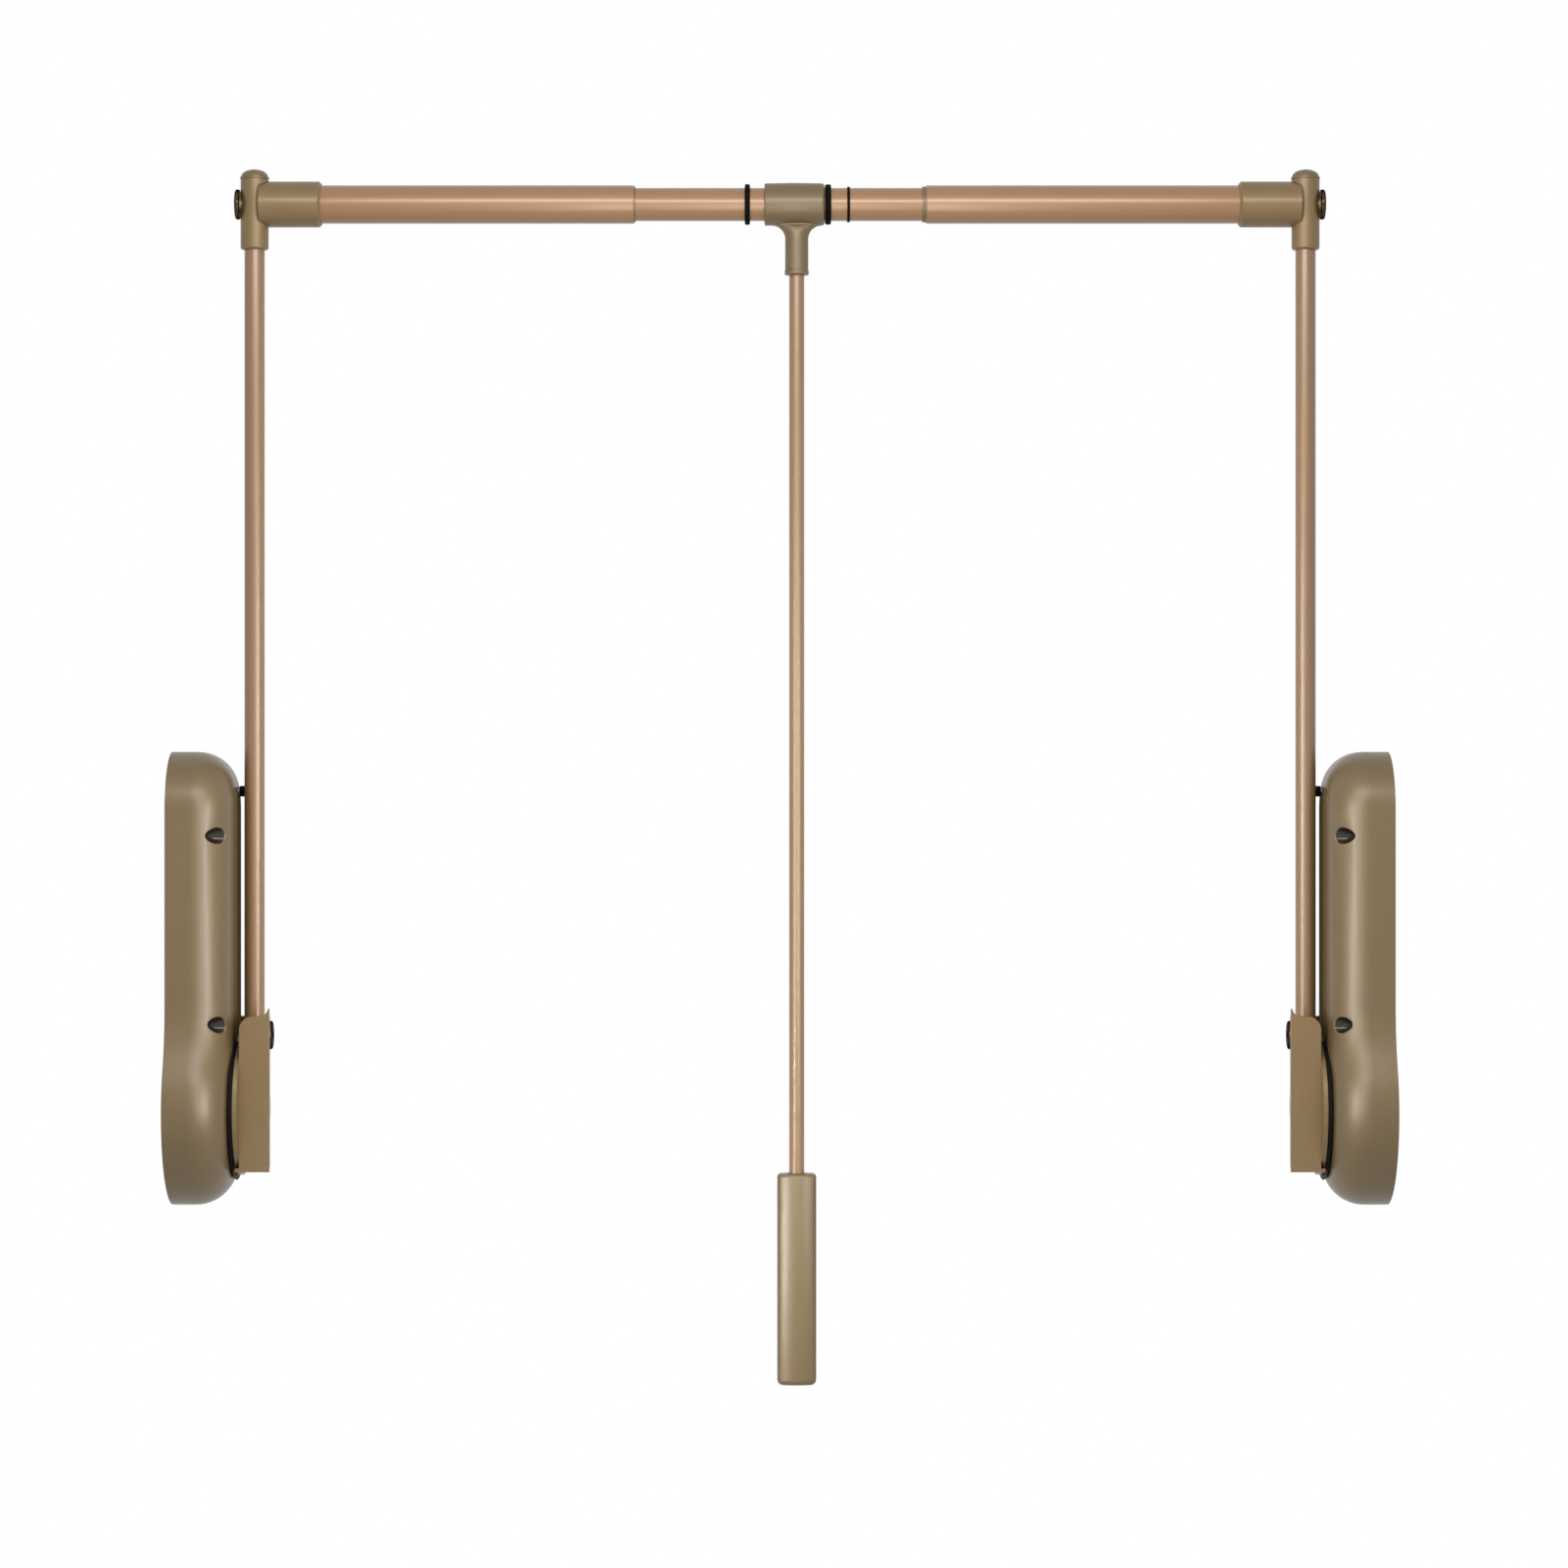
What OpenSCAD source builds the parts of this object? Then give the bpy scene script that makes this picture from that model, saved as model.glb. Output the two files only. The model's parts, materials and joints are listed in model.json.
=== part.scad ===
// Pull-down wardrobe lift: two wall units, two arms, a telescopic clothes rail and a pull rod.
// Millimetres. +X runs from the left wall to the right wall, -Y is the front and +Z is up.
// The origin is the centre of the left unit's four wall screws, on the face of the wall.
// Each wall unit is drawn once, from its own wall inwards and from its pivot upwards.

/* [Wardrobe] */
// Clear width between the two side walls, with the rail pushed right in
wardrobe_w = 830; // [830:1:1150]
// Height of the rail above the pivots of the arms
rail_h = 619; // [560:1:680]

/* [Housing] */
// Depth of the upper part of the housing, front to back
housing_depth = 97; // [90:1:110]
// Height of the housing's top above the pivot
housing_top = 244; // [236:1:260]
// How far the housing stands out from the wall
housing_w = 43; // [41:0.5:48]
// Radius of the round lower end about the pivot
lobe_r = 66; // [60:1:72]
// Radius of the two upper corners
corner_r = 40; // [32:1:44]
// Radius of the hollow between the lower end and the straight sides
blend_r = 90; // [70:1:110]
// Radius of the soft edge round the housing's inner face
edge_r = 27; // [20:1:30]
// Wall thickness of the housing
wall_t = 2.8; // [2:0.1:3.4]
// Thickness of the steel plate behind the housing
plate_t = 2; // [1.5:0.1:3]

/* [Wall screws] */
// Distance between the front and back wall screws
screw_pitch_y = 81; // [72:1:82]
// Distance between the lower and upper wall screws
screw_pitch_z = 128; // [110:1:136]
// Height of the lower wall screws above the pivot
lower_screw_z = 59; // [55:1:64]
// Diameter of the screw holes in plate and housing
screw_hole_d = 5; // [4:0.1:6]
// Diameter of the pockets that take the screw heads
pocket_d = 11; // [10:0.1:12]
// Wall thickness round each pocket
pocket_wall = 1.8; // [1.2:0.1:2.4]
// Thickness of the floor of each pocket
pocket_floor = 2.5; // [2:0.1:4]

/* [Cover screws] */
// Diameter of the three screws that hold the housing to its plate
cover_screw_d = 4; // [3:0.1:4.5]
// Length of those screws
cover_screw_l = 14; // [10:1:18]
// Diameter of the pillars that they go into
pillar_d = 9; // [8:0.1:10]
// Distance of the upper pillar below the housing's top
pillar_top = 16; // [14:1:18]
// Distance of each lower pillar from the pivot, measured forwards and backwards, and also downwards
pillar_side = 34; // [33:0.5:36]

/* [Axle] */
// Diameter of the axle in the gear and in the bracket
axle_d = 16; // [14:0.5:18]
// Diameter of the axle's end in the wall plate
axle_end_d = 10; // [8:0.5:11]
// Wall thickness of both bushes
bush_wall = 2; // [1.5:0.1:2.5]
// Diameter of the black disc between housing and bracket
disc_d = 98; // [94:1:104]
// Thickness of that disc
disc_t = 1.7; // [1.2:0.1:2.2]

/* [Gear and rack] */
// Size of the teeth: pitch diameter divided by number of teeth
tooth_module = 2; // [1.9:0.05:2.1]
// Number of teeth on the gear
gear_teeth = 16; // [15:1:17]
// Width of the gear
gear_w = 12; // [10:0.5:14]
// Width of the rack
rack_w = 10; // [8:0.5:11]
// Thickness of the rack behind its teeth
rack_back = 7.8; // [6:0.1:8]
// Height of the crosshead's underside above the pivot
crosshead_z = 34; // [32:1:40]
// Thickness of the crosshead
crosshead_t = 5; // [4:0.5:7]
// Wall thickness of the guide round the rack
guide_wall = 3.7; // [3:0.1:4]

/* [Spring and damper] */
// Distance of the spring's centre line from the wall
spring_u = 21; // [20:0.5:22]
// Diameter of the spring, from wire centre to wire centre
spring_d = 24.8; // [23.5:0.1:26]
// Thickness of the spring's wire
wire_d = 3; // [2.5:0.1:3.4]
// Number of turns between the closed ends
active_turns = 12; // [8:1:14]
// Height of the anchor's underside above the pivot
anchor_z = 200; // [190:1:203]
// Thickness of the anchor's steel
anchor_t = 3; // [2:0.5:4]
// Width of the anchor
anchor_w = 34; // [31:0.5:38]
// Height of the anchor's leg on the wall plate
anchor_leg_h = 25; // [16:1:30]
// Diameter of the damper's cylinder
damper_d = 16; // [14:0.5:17]
// Wall thickness of that cylinder
damper_wall = 1.5; // [1:0.1:2]
// Length of that cylinder
damper_l = 92; // [80:1:100]
// Diameter of the piston rod
piston_rod_d = 5; // [4:0.5:6]
// Height of the piston
piston_h = 7; // [5:0.5:10]

/* [Stop] */
// Diameter of the steel peg behind the arm
peg_d = 5; // [4:0.1:5.6]
// Diameter of its rubber sleeve
sleeve_d = 7.4; // [6.6:0.1:8.4]
// Thickness of the peg's head
peg_head_t = 1.5; // [1:0.1:2.5]

/* [Bracket] */
// Diameter of the bracket's round flange
flange_d = 91; // [84:1:93]
// Thickness of that flange
flange_t = 3; // [2.5:0.1:4]
// Distance of the bracket's front face from the pivot
bracket_front = 30; // [26:1:33]
// Distance of the open back edge from the pivot
bracket_back = 10; // [9.8:0.1:14]
// Height of the front wall's top above the pivot
bracket_top = 64.2; // [62:0.1:70]
// How much lower the inner wall ends
cheek_drop = 2; // [1:0.1:4]
// How far the front wall stands out past the inner wall, in front of the large screw's head
face_lip = 4; // [1:0.1:5]
// Length of the small rise at the front wall's inner end
tip_run = 7.3; // [5:0.1:8]
// Height of that rise
tip_rise = 5.3; // [2:0.1:5.5]
// Width of its top
tip_w = 0.8; // [0.5:0.1:2]
// Distance of the bracket's bottom below the pivot
bracket_bottom = 41.4; // [38:0.1:44]
// Wall thickness of the bracket
bracket_t = 2.5; // [2:0.1:3]
// Radius of the front wall's corner beside the housing
bracket_corner = 9; // [6:0.5:10]
// Diameter of the hub round the axle
hub_d = 26; // [24:0.5:30]
// Wall thickness of the socket that takes the arm
socket_wall = 2.5; // [2:0.1:3]
// How deep the arm stands in that socket
socket_depth = 37; // [30:1:38]

/* [Arm] */
// Diameter of the arm's tube
arm_d = 13.9; // [13:0.1:14.5]
// Wall thickness of the arm's tube
arm_wall = 1.5; // [1:0.1:2]
// Distance of the arm's centre line from the wall
arm_u = 55; // [54.5:0.1:56]
// Diameter of the shank of the two large screws
big_screw_d = 6; // [5:0.5:7]
// Diameter of the lower large screw's head
lower_head_d = 19.5; // [18:0.1:21]
// Thickness of the lower large screw's head
lower_head_t = 3.1; // [2:0.1:4]
// Distance of the lower large screw from the top of the bracket's front wall
lower_screw_drop = 14.2; // [12:0.1:16]

/* [Corner] */
// Diameter of the upright head on the arm
head_d = 19.2; // [18:0.1:21]
// Length of the head below the rail's centre line
head_below = 31; // [28:0.5:36]
// Length of the head above the rail's centre line
head_above = 17; // [16:0.5:22]
// Chamfer at the head's lower end
head_chamfer = 1; // [0.5:0.1:1.5]
// How deep the arm stands in the head
head_socket = 18; // [12:0.5:20]
// Diameter of the cap's brim
cap_d = 19.8; // [19.3:0.1:21]
// Thickness of the cap's brim
brim_t = 2; // [1.5:0.1:3]
// Height of the cap's dome above its brim
dome_h = 5; // [3:0.1:7]
// Diameter of the upper large screw's head
upper_head_d = 20.5; // [18:0.1:22]
// Thickness of the upper large screw's head
upper_head_t = 4.1; // [3:0.1:5]
// Diameter of the seat under that head
seat_d = 10; // [9:0.5:17]

/* [Rail] */
// Diameter of the sleeve that holds the rail's end
rail_sleeve_d = 31.3; // [30:0.1:33]
// Distance of the sleeve's inner end from the wall
rail_sleeve_end = 101; // [90:1:110]
// Chamfer at that end
rail_sleeve_chamfer = 1.6; // [0.5:0.1:2]
// Thickness of the sleeve's inner web, through which the large screw goes
sleeve_web = 3.4; // [3:0.1:6]
// Diameter of the outer tubes
outer_d = 26.2; // [25.5:0.1:27]
// Wall thickness of the outer tubes
outer_wall = 1.3; // [1:0.1:1.4]
// Distance of an outer tube's mouth from its wall
outer_end = 315; // [280:1:330]
// Diameter of the inner tube
inner_d = 22.6; // [22.2:0.1:22.8]
// Wall thickness of the inner tube
inner_wall = 1.5; // [1:0.1:2]
// Clearance between the inner tube's end bushes and the large screws, with the rail pushed right in
rail_play = 0.3; // [0.3:0.1:4]
// Length of the bush in each mouth
mouth_bush_l = 18; // [12:1:30]
// How far the left bush stands out of its tube
left_lip = 0.8; // [0.5:0.1:3]
// How far the right bush stands out of its tube
right_lip = 2.6; // [0.5:0.1:3]
// Diameter of that lip
lip_d = 24.6; // [24:0.1:25.4]
// Length of the bushes on the ends of the inner tube
end_bush_l = 12; // [8:1:20]
// Thickness of the caps of those bushes
end_cap_t = 2; // [1:0.1:3]

/* [Tee] */
// Diameter of the tee's body on the rail
tee_d = 29.5; // [28:0.1:32]
// Length of the tee's body
tee_l = 41.2; // [40:0.1:50]
// Distance of the tee's left end from the middle of the rail, to the left
tee_start = 10.7; // [9:0.1:13]
// Distance of the pull rod from the middle of the rail, to the right
rod_offset = 11.4; // [10:0.1:12]
// Wall thickness of the liner between tee and rail
liner_t = 0.7; // [0.5:0.1:1]
// Diameter of the tee's stem
stem_d = 15.1; // [14.5:0.1:16.5]
// Distance of the stem's lower end below the rail's centre line
stem_l = 48.4; // [44:0.1:56]
// Diameter of the lip at the stem's lower end
stem_lip_d = 16.6; // [16.5:0.1:18]
// Height of that lip
stem_lip_h = 3.4; // [2:0.1:5]
// Radius of the hollow between stem and body
stem_blend = 11.4; // [8:0.1:12]
// Thickness of that hollow web, front to back
stem_web = 16.6; // [12:0.1:18]
// How deep the pull rod stands in the stem
rod_in_stem = 28; // [20:1:29]

/* [Rings] */
// Distance of the left ring's right side from the tee, when the tee stands right over
left_ring_gap = 9.9; // [8:0.1:12]
// Width of the left ring
left_ring_w = 3.6; // [3:0.1:5]
// Diameter of the left ring
left_ring_d = 27.8; // [26:0.1:29]
// Width of the ring at the tee
tee_ring_w = 4.1; // [3:0.1:5]
// Diameter of the ring at the tee
tee_ring_d = 27.5; // [26:0.1:29]
// Distance between the ring at the tee and the thin right ring
right_ring_gap = 11; // [9:0.1:13]
// Width of the thin right ring
right_ring_w = 1.9; // [1.5:0.1:3]
// Diameter of the thin right ring
right_ring_d = 24.4; // [24:0.1:26]

/* [Pull rod and handle] */
// Diameter of the pull rod
rod_d = 10.4; // [9.5:0.1:11]
// Wall thickness of the pull rod's tube
rod_wall = 1.2; // [1:0.1:2]
// Height of the handle's top below the pivots
handle_drop = 44.7; // [20:0.1:70]
// Length of the handle
handle_l = 144.6; // [120:0.1:170]
// Width of the handle
handle_w = 26.8; // [24:0.1:30]
// Depth of the handle, front to back
handle_depth = 20; // [18:0.1:24]
// Radius of the handle's upright edges
handle_edge = 7; // [4:0.5:8]
// Radius round the handle's top
handle_top_r = 2.7; // [1:0.1:4]
// Radius round the handle's bottom
handle_bottom_r = 4; // [2:0.1:6]
// How deep the pull rod stands in the handle
rod_in_handle = 58; // [40:1:80]
// Wall thickness of the threaded insert round the rod's end
insert_wall = 2.6; // [2:0.1:3]
// Length of that insert
insert_l = 20; // [12:1:30]

/* [Fits] */
// Radial clearance of a shaft or tube that runs in a bore
running = 0.05; // [0.03:0.01:0.1]
// Clearance between other pieces that move past each other
gap = 0.3; // [0.3:0.05:0.4]

/* [Hidden] */
unit_pieces = [
    "wall_plate", "housing", "cover_screws", "plate_bush", "cover_bush", "rack_guide", "spring_anchor",
    "lift_spring", "damper_cylinder", "stop_peg", "stop_sleeve", "pivot_axle", "pinion", "rack",
    "damper_rod", "arm_bracket", "arm_screw", "arm_tube", "arm_head", "head_cap", "corner_screw",
    "rail_sleeve", "outer_tube", "tube_bush"
];
rail_pieces = [
    "inner_tube", "rail_end_bushes", "left_rail_ring", "tee_ring", "right_rail_ring", "tee_liner",
    "tee", "pull_rod", "handle", "handle_insert"
];
$fn = 96;

// Colours of the finishes
bronze_plastic = "#856E4F";
bronze_tube = "#AC8D6E";
black_rubber = "#1B1A19";
bare_steel = "#A9ACAE";
brass = "#B79A58";
white_plastic = "#E4E1D8";

// Height of the screw pattern's centre above the pivots, which is where the origin lies
pivot_drop = lower_screw_z + screw_pitch_z / 2;

// Outline of the housing, seen along the wall
half_depth = housing_depth / 2;
corner_y = half_depth - corner_r;
corner_z = housing_top - corner_r;
blend_y = half_depth + blend_r;
blend_z = sqrt(pow(lobe_r + blend_r, 2) - pow(blend_y, 2));
blend_angle = atan2(blend_z, blend_y);
lobe_steps = 28;
blend_steps = 6;
corner_steps = 8;
edge_steps = 7;
cover_ceiling = housing_w - wall_t;

// Wall plate and screws
plate_inset = wall_t + gap;
pocket_od = pocket_d + 2 * pocket_wall;
pillar_z = housing_top - pillar_top;
pillar_places = [[0, pillar_z], [-pillar_side, -pillar_side], [pillar_side, -pillar_side]];

// Axle and bushes
axle_start = 0.5;
bush_flange_t = 1.5;
bush_flange_extra = 3;
shoulder_u = plate_t + 6;
disc_u = housing_w + disc_t;

// Bracket
bracket_u = disc_u + gap;
cheek_u = arm_u + arm_d / 2;
bracket_end = cheek_u + bracket_t;
face_end = bracket_end + face_lip;
cheek_top = bracket_top - cheek_drop;
tip_r = (pow(tip_run - tip_w, 2) + pow(tip_rise, 2)) / (2 * tip_rise);
lower_big_z = bracket_top - lower_screw_drop;
socket_top = bracket_top - 1;
arm_start = socket_top - socket_depth;
socket_bottom = arm_start - socket_wall;

// Gear and rack
pitch_r = tooth_module * gear_teeth / 2;
pressure_angle = 20;
base_r = pitch_r * cos(pressure_angle);
addendum = 0.8 * tooth_module;
dedendum = 1.1 * tooth_module;
backlash = 0.15;
rack_pitch = PI * tooth_module;
stroke = pitch_r * PI / 2;
teeth_above = 2;
teeth_below = ceil(stroke / rack_pitch) + 2;
rack_root_y = pitch_r + dedendum;
rack_back_y = rack_root_y + rack_back;
rack_top = teeth_above * rack_pitch;
rack_bottom = -teeth_below * rack_pitch;
crosshead_top = crosshead_z + crosshead_t;

// Guide round the rack
guide_top = crosshead_z - 4;
guide_bottom = -27;
guide_front_y = pitch_r + 2 * tooth_module;
guide_back_y = rack_back_y + gap + 2 * guide_wall;

// Spring
spring_r = spring_d / 2;
spring_outer_r = spring_r + wire_d / 2;
wire_sides = 8;
wire_steps = 14;
closed_turns = 1;
closed_pitch = wire_d + 0.5;
spring_rise = anchor_z - crosshead_top - wire_d;
active_pitch = (spring_rise - 2 * closed_turns * closed_pitch) / active_turns;
echo(least_gap_between_turns = min(active_pitch, closed_pitch) - wire_d);

// Damper
damper_top = anchor_z - 4;
damper_bottom = damper_top - damper_l;
damper_end_t = 4;
stud_d = 6;
piston_z = damper_bottom + damper_end_t + gap;

// Stop behind the arm
peg_z = housing_top - edge_r;
peg_y = arm_d / 2 + gap + sleeve_d / 2;
sleeve_start = housing_w + gap;
sleeve_end = arm_u + 3;

// Corner
head_bottom = rail_h - head_below;
head_top = rail_h + head_above;
arm_end = head_bottom + head_socket;
seat_u = arm_u - head_d / 2 - 0.6;
web_end = arm_u + head_d / 2 + sleeve_web;
saddle_u = arm_u + 4;
corner_screw_end = web_end + 6;

// Rail
outer_bore = outer_d - 2 * outer_wall;
rail_middle = wardrobe_w / 2;
inner_start = corner_screw_end + rail_play + end_cap_t;
inner_end = wardrobe_w - inner_start;
tee_x = rail_middle - tee_start;
tee_end = tee_x + tee_l;
tee_bore = inner_d + 2 * running + 2 * liner_t;
rod_x = rail_middle + rod_offset;
left_ring_x = tee_x - left_ring_gap - left_ring_w;
tee_ring_x = tee_end + gap;
right_ring_x = tee_ring_x + tee_ring_w + right_ring_gap;

// Handle
handle_top = -handle_drop;
handle_bottom = handle_top - handle_l;
rod_end = handle_top - rod_in_handle;

// A wall unit in its place
module on_left() translate([0, 0, -pivot_drop]) children();
module on_right() translate([wardrobe_w, 0, -pivot_drop]) mirror([1, 0, 0]) children();
// Pieces of the rail in their place
module on_rail() translate([0, 0, -pivot_drop]) children();

// Rod or disc along X, from u0 to u1
module x_rod(d, u0, u1, y = 0, z = 0) translate([u0, y, z]) rotate([0, 90, 0]) cylinder(d = d, h = u1 - u0);
// Tube along X, from u0 to u1
module x_tube(d, bore, u0, u1, z = 0) {
    difference() {
        x_rod(d, u0, u1, 0, z);
        x_rod(bore, u0 - 1, u1 + 1, 0, z);
    }
}
// Rod along Z, from z0 to z1
module z_rod(d, z0, z1, x = 0, y = 0) translate([x, y, z0]) cylinder(d = d, h = z1 - z0);
// Box from one corner to the opposite one
module block(low, high) translate(low) cube(high - low);
// Outline in Y and Z, extruded along X
module along_x(u0, u1) translate([u0, 0, 0]) rotate([90, 0, 90]) linear_extrude(u1 - u0) children();
// Outline in X and Z, extruded along Y
module along_y(y0, y1) translate([0, y1, 0]) rotate([90, 0, 0]) linear_extrude(y1 - y0) children();

// Points of an arc, first and last included
function arc(cx, cy, r, a0, a1, steps) =
    [for (i = [0:steps]) let (a = a0 + (a1 - a0) * i / steps) [cx + r * cos(a), cy + r * sin(a)]];
// All but the first, or all but the last, of a list
function tail(list) = [for (i = [1:len(list) - 1]) list[i]];
function body_of(list) = [for (i = [0:len(list) - 2]) list[i]];

// The housing's outline as points, drawn in by inset
function outline_points(inset) = concat(
    arc(0, 0, lobe_r - inset, blend_angle, -180 - blend_angle, lobe_steps),
    tail(arc(-blend_y, blend_z, blend_r + inset, -blend_angle, 0, blend_steps)),
    arc(-corner_y, corner_z, corner_r - inset, 180, 90, corner_steps),
    arc(corner_y, corner_z, corner_r - inset, 90, 0, corner_steps),
    body_of(arc(blend_y, blend_z, blend_r + inset, 180, 180 + blend_angle, blend_steps))
);

// The same outline as an exact shape
module outline_shape(inset) {
    circle(r = lobe_r - inset);
    translate([-half_depth + inset, blend_z]) square([housing_depth - 2 * inset, corner_z - blend_z]);
    translate([-corner_y, blend_z]) square([2 * corner_y, housing_top - inset - blend_z]);
    for (side = [-1, 1]) translate([side * corner_y, corner_z]) circle(r = corner_r - inset);
    neck = (lobe_r - inset) * cos(blend_angle);
    difference() {
        translate([-neck, 0]) square([2 * neck, blend_z]);
        for (side = [-1, 1]) translate([side * blend_y, blend_z]) circle(r = blend_r + inset);
    }
}

// Cushion shape from the wall to u1, with a soft edge round its face
module cushion(inset, u0, u1, soft) {
    rings = concat(
        [[for (p = outline_points(inset)) [u0, p.x, p.y]]],
        [for (k = [0:edge_steps])
            let (a = 90 * k / edge_steps)
            [for (p = outline_points(inset + soft * (1 - cos(a)))) [u1 - soft + soft * sin(a), p.x, p.y]]]
    );
    count = len(rings[0]);
    last = len(rings) - 1;
    sides = [for (k = [0:last - 1]) for (j = [0:count - 1]) for (half = [0, 1])
        let (a = k * count + j, b = k * count + (j + 1) % count)
        half == 0 ? [a, b, b + count] : [a, b + count, a + count]];
    polyhedron(
        points = [for (ring = rings) for (p = ring) p],
        faces = concat([[for (j = [count - 1:-1:0]) j]], sides, [[for (j = [0:count - 1]) last * count + j]])
    );
}

// Repeats its children at the four wall screws
module at_wall_screws() {
    for (side = [-1, 1]) for (level = [0, 1])
        translate([0, side * screw_pitch_y / 2, lower_screw_z + level * screw_pitch_z]) children();
}

// Repeats its children at the three cover screws
module at_pillars() for (place = pillar_places) translate([0, place[0], place[1]]) children();

module wall_plate() {
    color(bare_steel) difference() {
        along_x(0, plate_t) outline_shape(plate_inset);
        at_wall_screws() x_rod(screw_hole_d, -1, plate_t + 1);
        at_pillars() screw_sink();
        x_rod(axle_end_d + 2 * running + 2 * bush_wall, -1, plate_t + 1);
        x_rod(peg_d, -1, plate_t + 1, peg_y, peg_z);
    }
}

// Countersunk hole for a cover screw
module screw_sink() rotate([0, 90, 0]) cylinder(d1 = 2 * cover_screw_d, d2 = cover_screw_d, h = plate_t);

module housing() {
    color(bronze_plastic) difference() {
        union() {
            difference() {
                cushion(0, 0, housing_w, edge_r);
                cushion(wall_t, -1, cover_ceiling, edge_r - wall_t);
            }
            intersection() {
                cushion(0, 0, housing_w, edge_r);
                union() {
                    at_wall_screws() x_rod(pocket_od, plate_t, housing_w);
                    at_pillars() x_rod(pillar_d, plate_t, housing_w);
                }
            }
        }
        at_wall_screws() x_rod(pocket_d, plate_t + pocket_floor, housing_w + 1);
        at_wall_screws() x_rod(screw_hole_d, plate_t - 1, housing_w);
        at_pillars() x_rod(cover_screw_d, 0, cover_screw_l + 1);
        x_rod(axle_d + 2 * running + 2 * bush_wall, plate_t, housing_w + 1);
        x_rod(peg_d, plate_t, housing_w + 1, peg_y, peg_z);
    }
}

module cover_screws() {
    color(bare_steel) at_pillars() {
        screw_sink();
        x_rod(cover_screw_d, plate_t, cover_screw_l);
    }
}

module plate_bush() {
    outer = axle_end_d + 2 * running + 2 * bush_wall;
    color(white_plastic) difference() {
        union() {
            x_rod(outer, 0, shoulder_u - gap);
            x_rod(outer + 2 * bush_flange_extra, plate_t, plate_t + bush_flange_t);
        }
        x_rod(axle_end_d + 2 * running, -1, shoulder_u + 1);
    }
}

module cover_bush() {
    outer = axle_d + 2 * running + 2 * bush_wall;
    color(black_rubber) difference() {
        union() {
            x_rod(outer, cover_ceiling - 2, disc_u);
            x_rod(disc_d, housing_w, disc_u);
        }
        x_rod(axle_d + 2 * running, 0, disc_u + 1);
    }
}

module rack_guide() {
    half_slot = rack_w / 2 + gap;
    color(white_plastic) difference() {
        block([plate_t, guide_front_y, guide_bottom], [spring_u + half_slot + guide_wall, guide_back_y, guide_top]);
        block([spring_u - half_slot, 0, guide_bottom - 1], [spring_u + half_slot, rack_back_y + gap, guide_top + 1]);
    }
}

module spring_anchor() {
    reach = spring_u + spring_outer_r + 1;
    leg_w = anchor_w - 10;
    anchor_top = anchor_z + anchor_t;
    color(bare_steel) difference() {
        union() {
            block([plate_t, -anchor_w / 2, anchor_z], [reach, anchor_w / 2, anchor_top]);
            block([plate_t, -leg_w / 2, anchor_top - anchor_leg_h], [plate_t + anchor_t, leg_w / 2, anchor_top]);
        }
        z_rod(stud_d, anchor_z - 1, anchor_top + 1, spring_u);
    }
}

// Height of the wire's centre after a number of turns from the lower end
function wire_height(turn) =
    turn < closed_turns ? turn * closed_pitch
    : turn > closed_turns + active_turns
    ? spring_rise - (2 * closed_turns + active_turns - turn) * closed_pitch
    : closed_turns * closed_pitch + (turn - closed_turns) * active_pitch;

module lift_spring() {
    turns = 2 * closed_turns + active_turns;
    last = turns * wire_steps;
    points = [for (i = [0:last]) let (a = 360 * i / wire_steps) for (j = [0:wire_sides - 1])
        let (b = 360 * j / wire_sides, r = spring_r + wire_d / 2 * cos(b))
        [r * cos(a), r * sin(a), wire_height(i / wire_steps) + wire_d / 2 * sin(b)]];
    sides = [for (i = [0:last - 1]) for (j = [0:wire_sides - 1]) for (half = [0, 1])
        let (a = i * wire_sides + j, b = i * wire_sides + (j + 1) % wire_sides)
        half == 0 ? [a, b, b + wire_sides] : [a, b + wire_sides, a + wire_sides]];
    ends = [
        [for (j = [wire_sides - 1:-1:0]) j],
        [for (j = [0:wire_sides - 1]) last * wire_sides + j]
    ];
    color(bare_steel) translate([spring_u, 0, crosshead_top + wire_d / 2])
        polyhedron(points = points, faces = concat(sides, ends));
}

module damper_cylinder() {
    bore = damper_d - 2 * damper_wall;
    color(bare_steel) difference() {
        union() {
            z_rod(damper_d, damper_bottom, damper_top, spring_u);
            z_rod(stud_d + 6, damper_top, anchor_z, spring_u);
            z_rod(stud_d, damper_top, anchor_z + anchor_t + 3, spring_u);
        }
        z_rod(bore, damper_bottom + damper_end_t, damper_top - damper_end_t, spring_u);
        z_rod(piston_rod_d + 2 * running, damper_bottom - 1, damper_bottom + damper_end_t + 1, spring_u);
    }
}

module stop_peg() {
    color(bare_steel) {
        x_rod(peg_d, axle_start, sleeve_end, peg_y, peg_z);
        x_rod(sleeve_d, sleeve_end, sleeve_end + peg_head_t, peg_y, peg_z);
    }
}

module stop_sleeve() {
    color(black_rubber) difference() {
        x_rod(sleeve_d, sleeve_start, sleeve_end, peg_y, peg_z);
        x_rod(peg_d, sleeve_start - 1, sleeve_end + 1, peg_y, peg_z);
    }
}

module pivot_axle() {
    color(bare_steel) {
        x_rod(axle_end_d, axle_start, shoulder_u);
        x_rod(axle_d, shoulder_u, bracket_end);
    }
}

// Point on a tooth's flank at radius r, half the tooth being half_angle wide at the pitch circle
function roll_angle(r) = let (a = acos(min(1, base_r / r))) tan(a) * 180 / PI - a;
function flank(r, half_angle) = let (a = half_angle + roll_angle(pitch_r) - roll_angle(r)) [r, a];
function polar(p) = [p[0] * cos(p[1]), p[0] * sin(p[1])];

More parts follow.
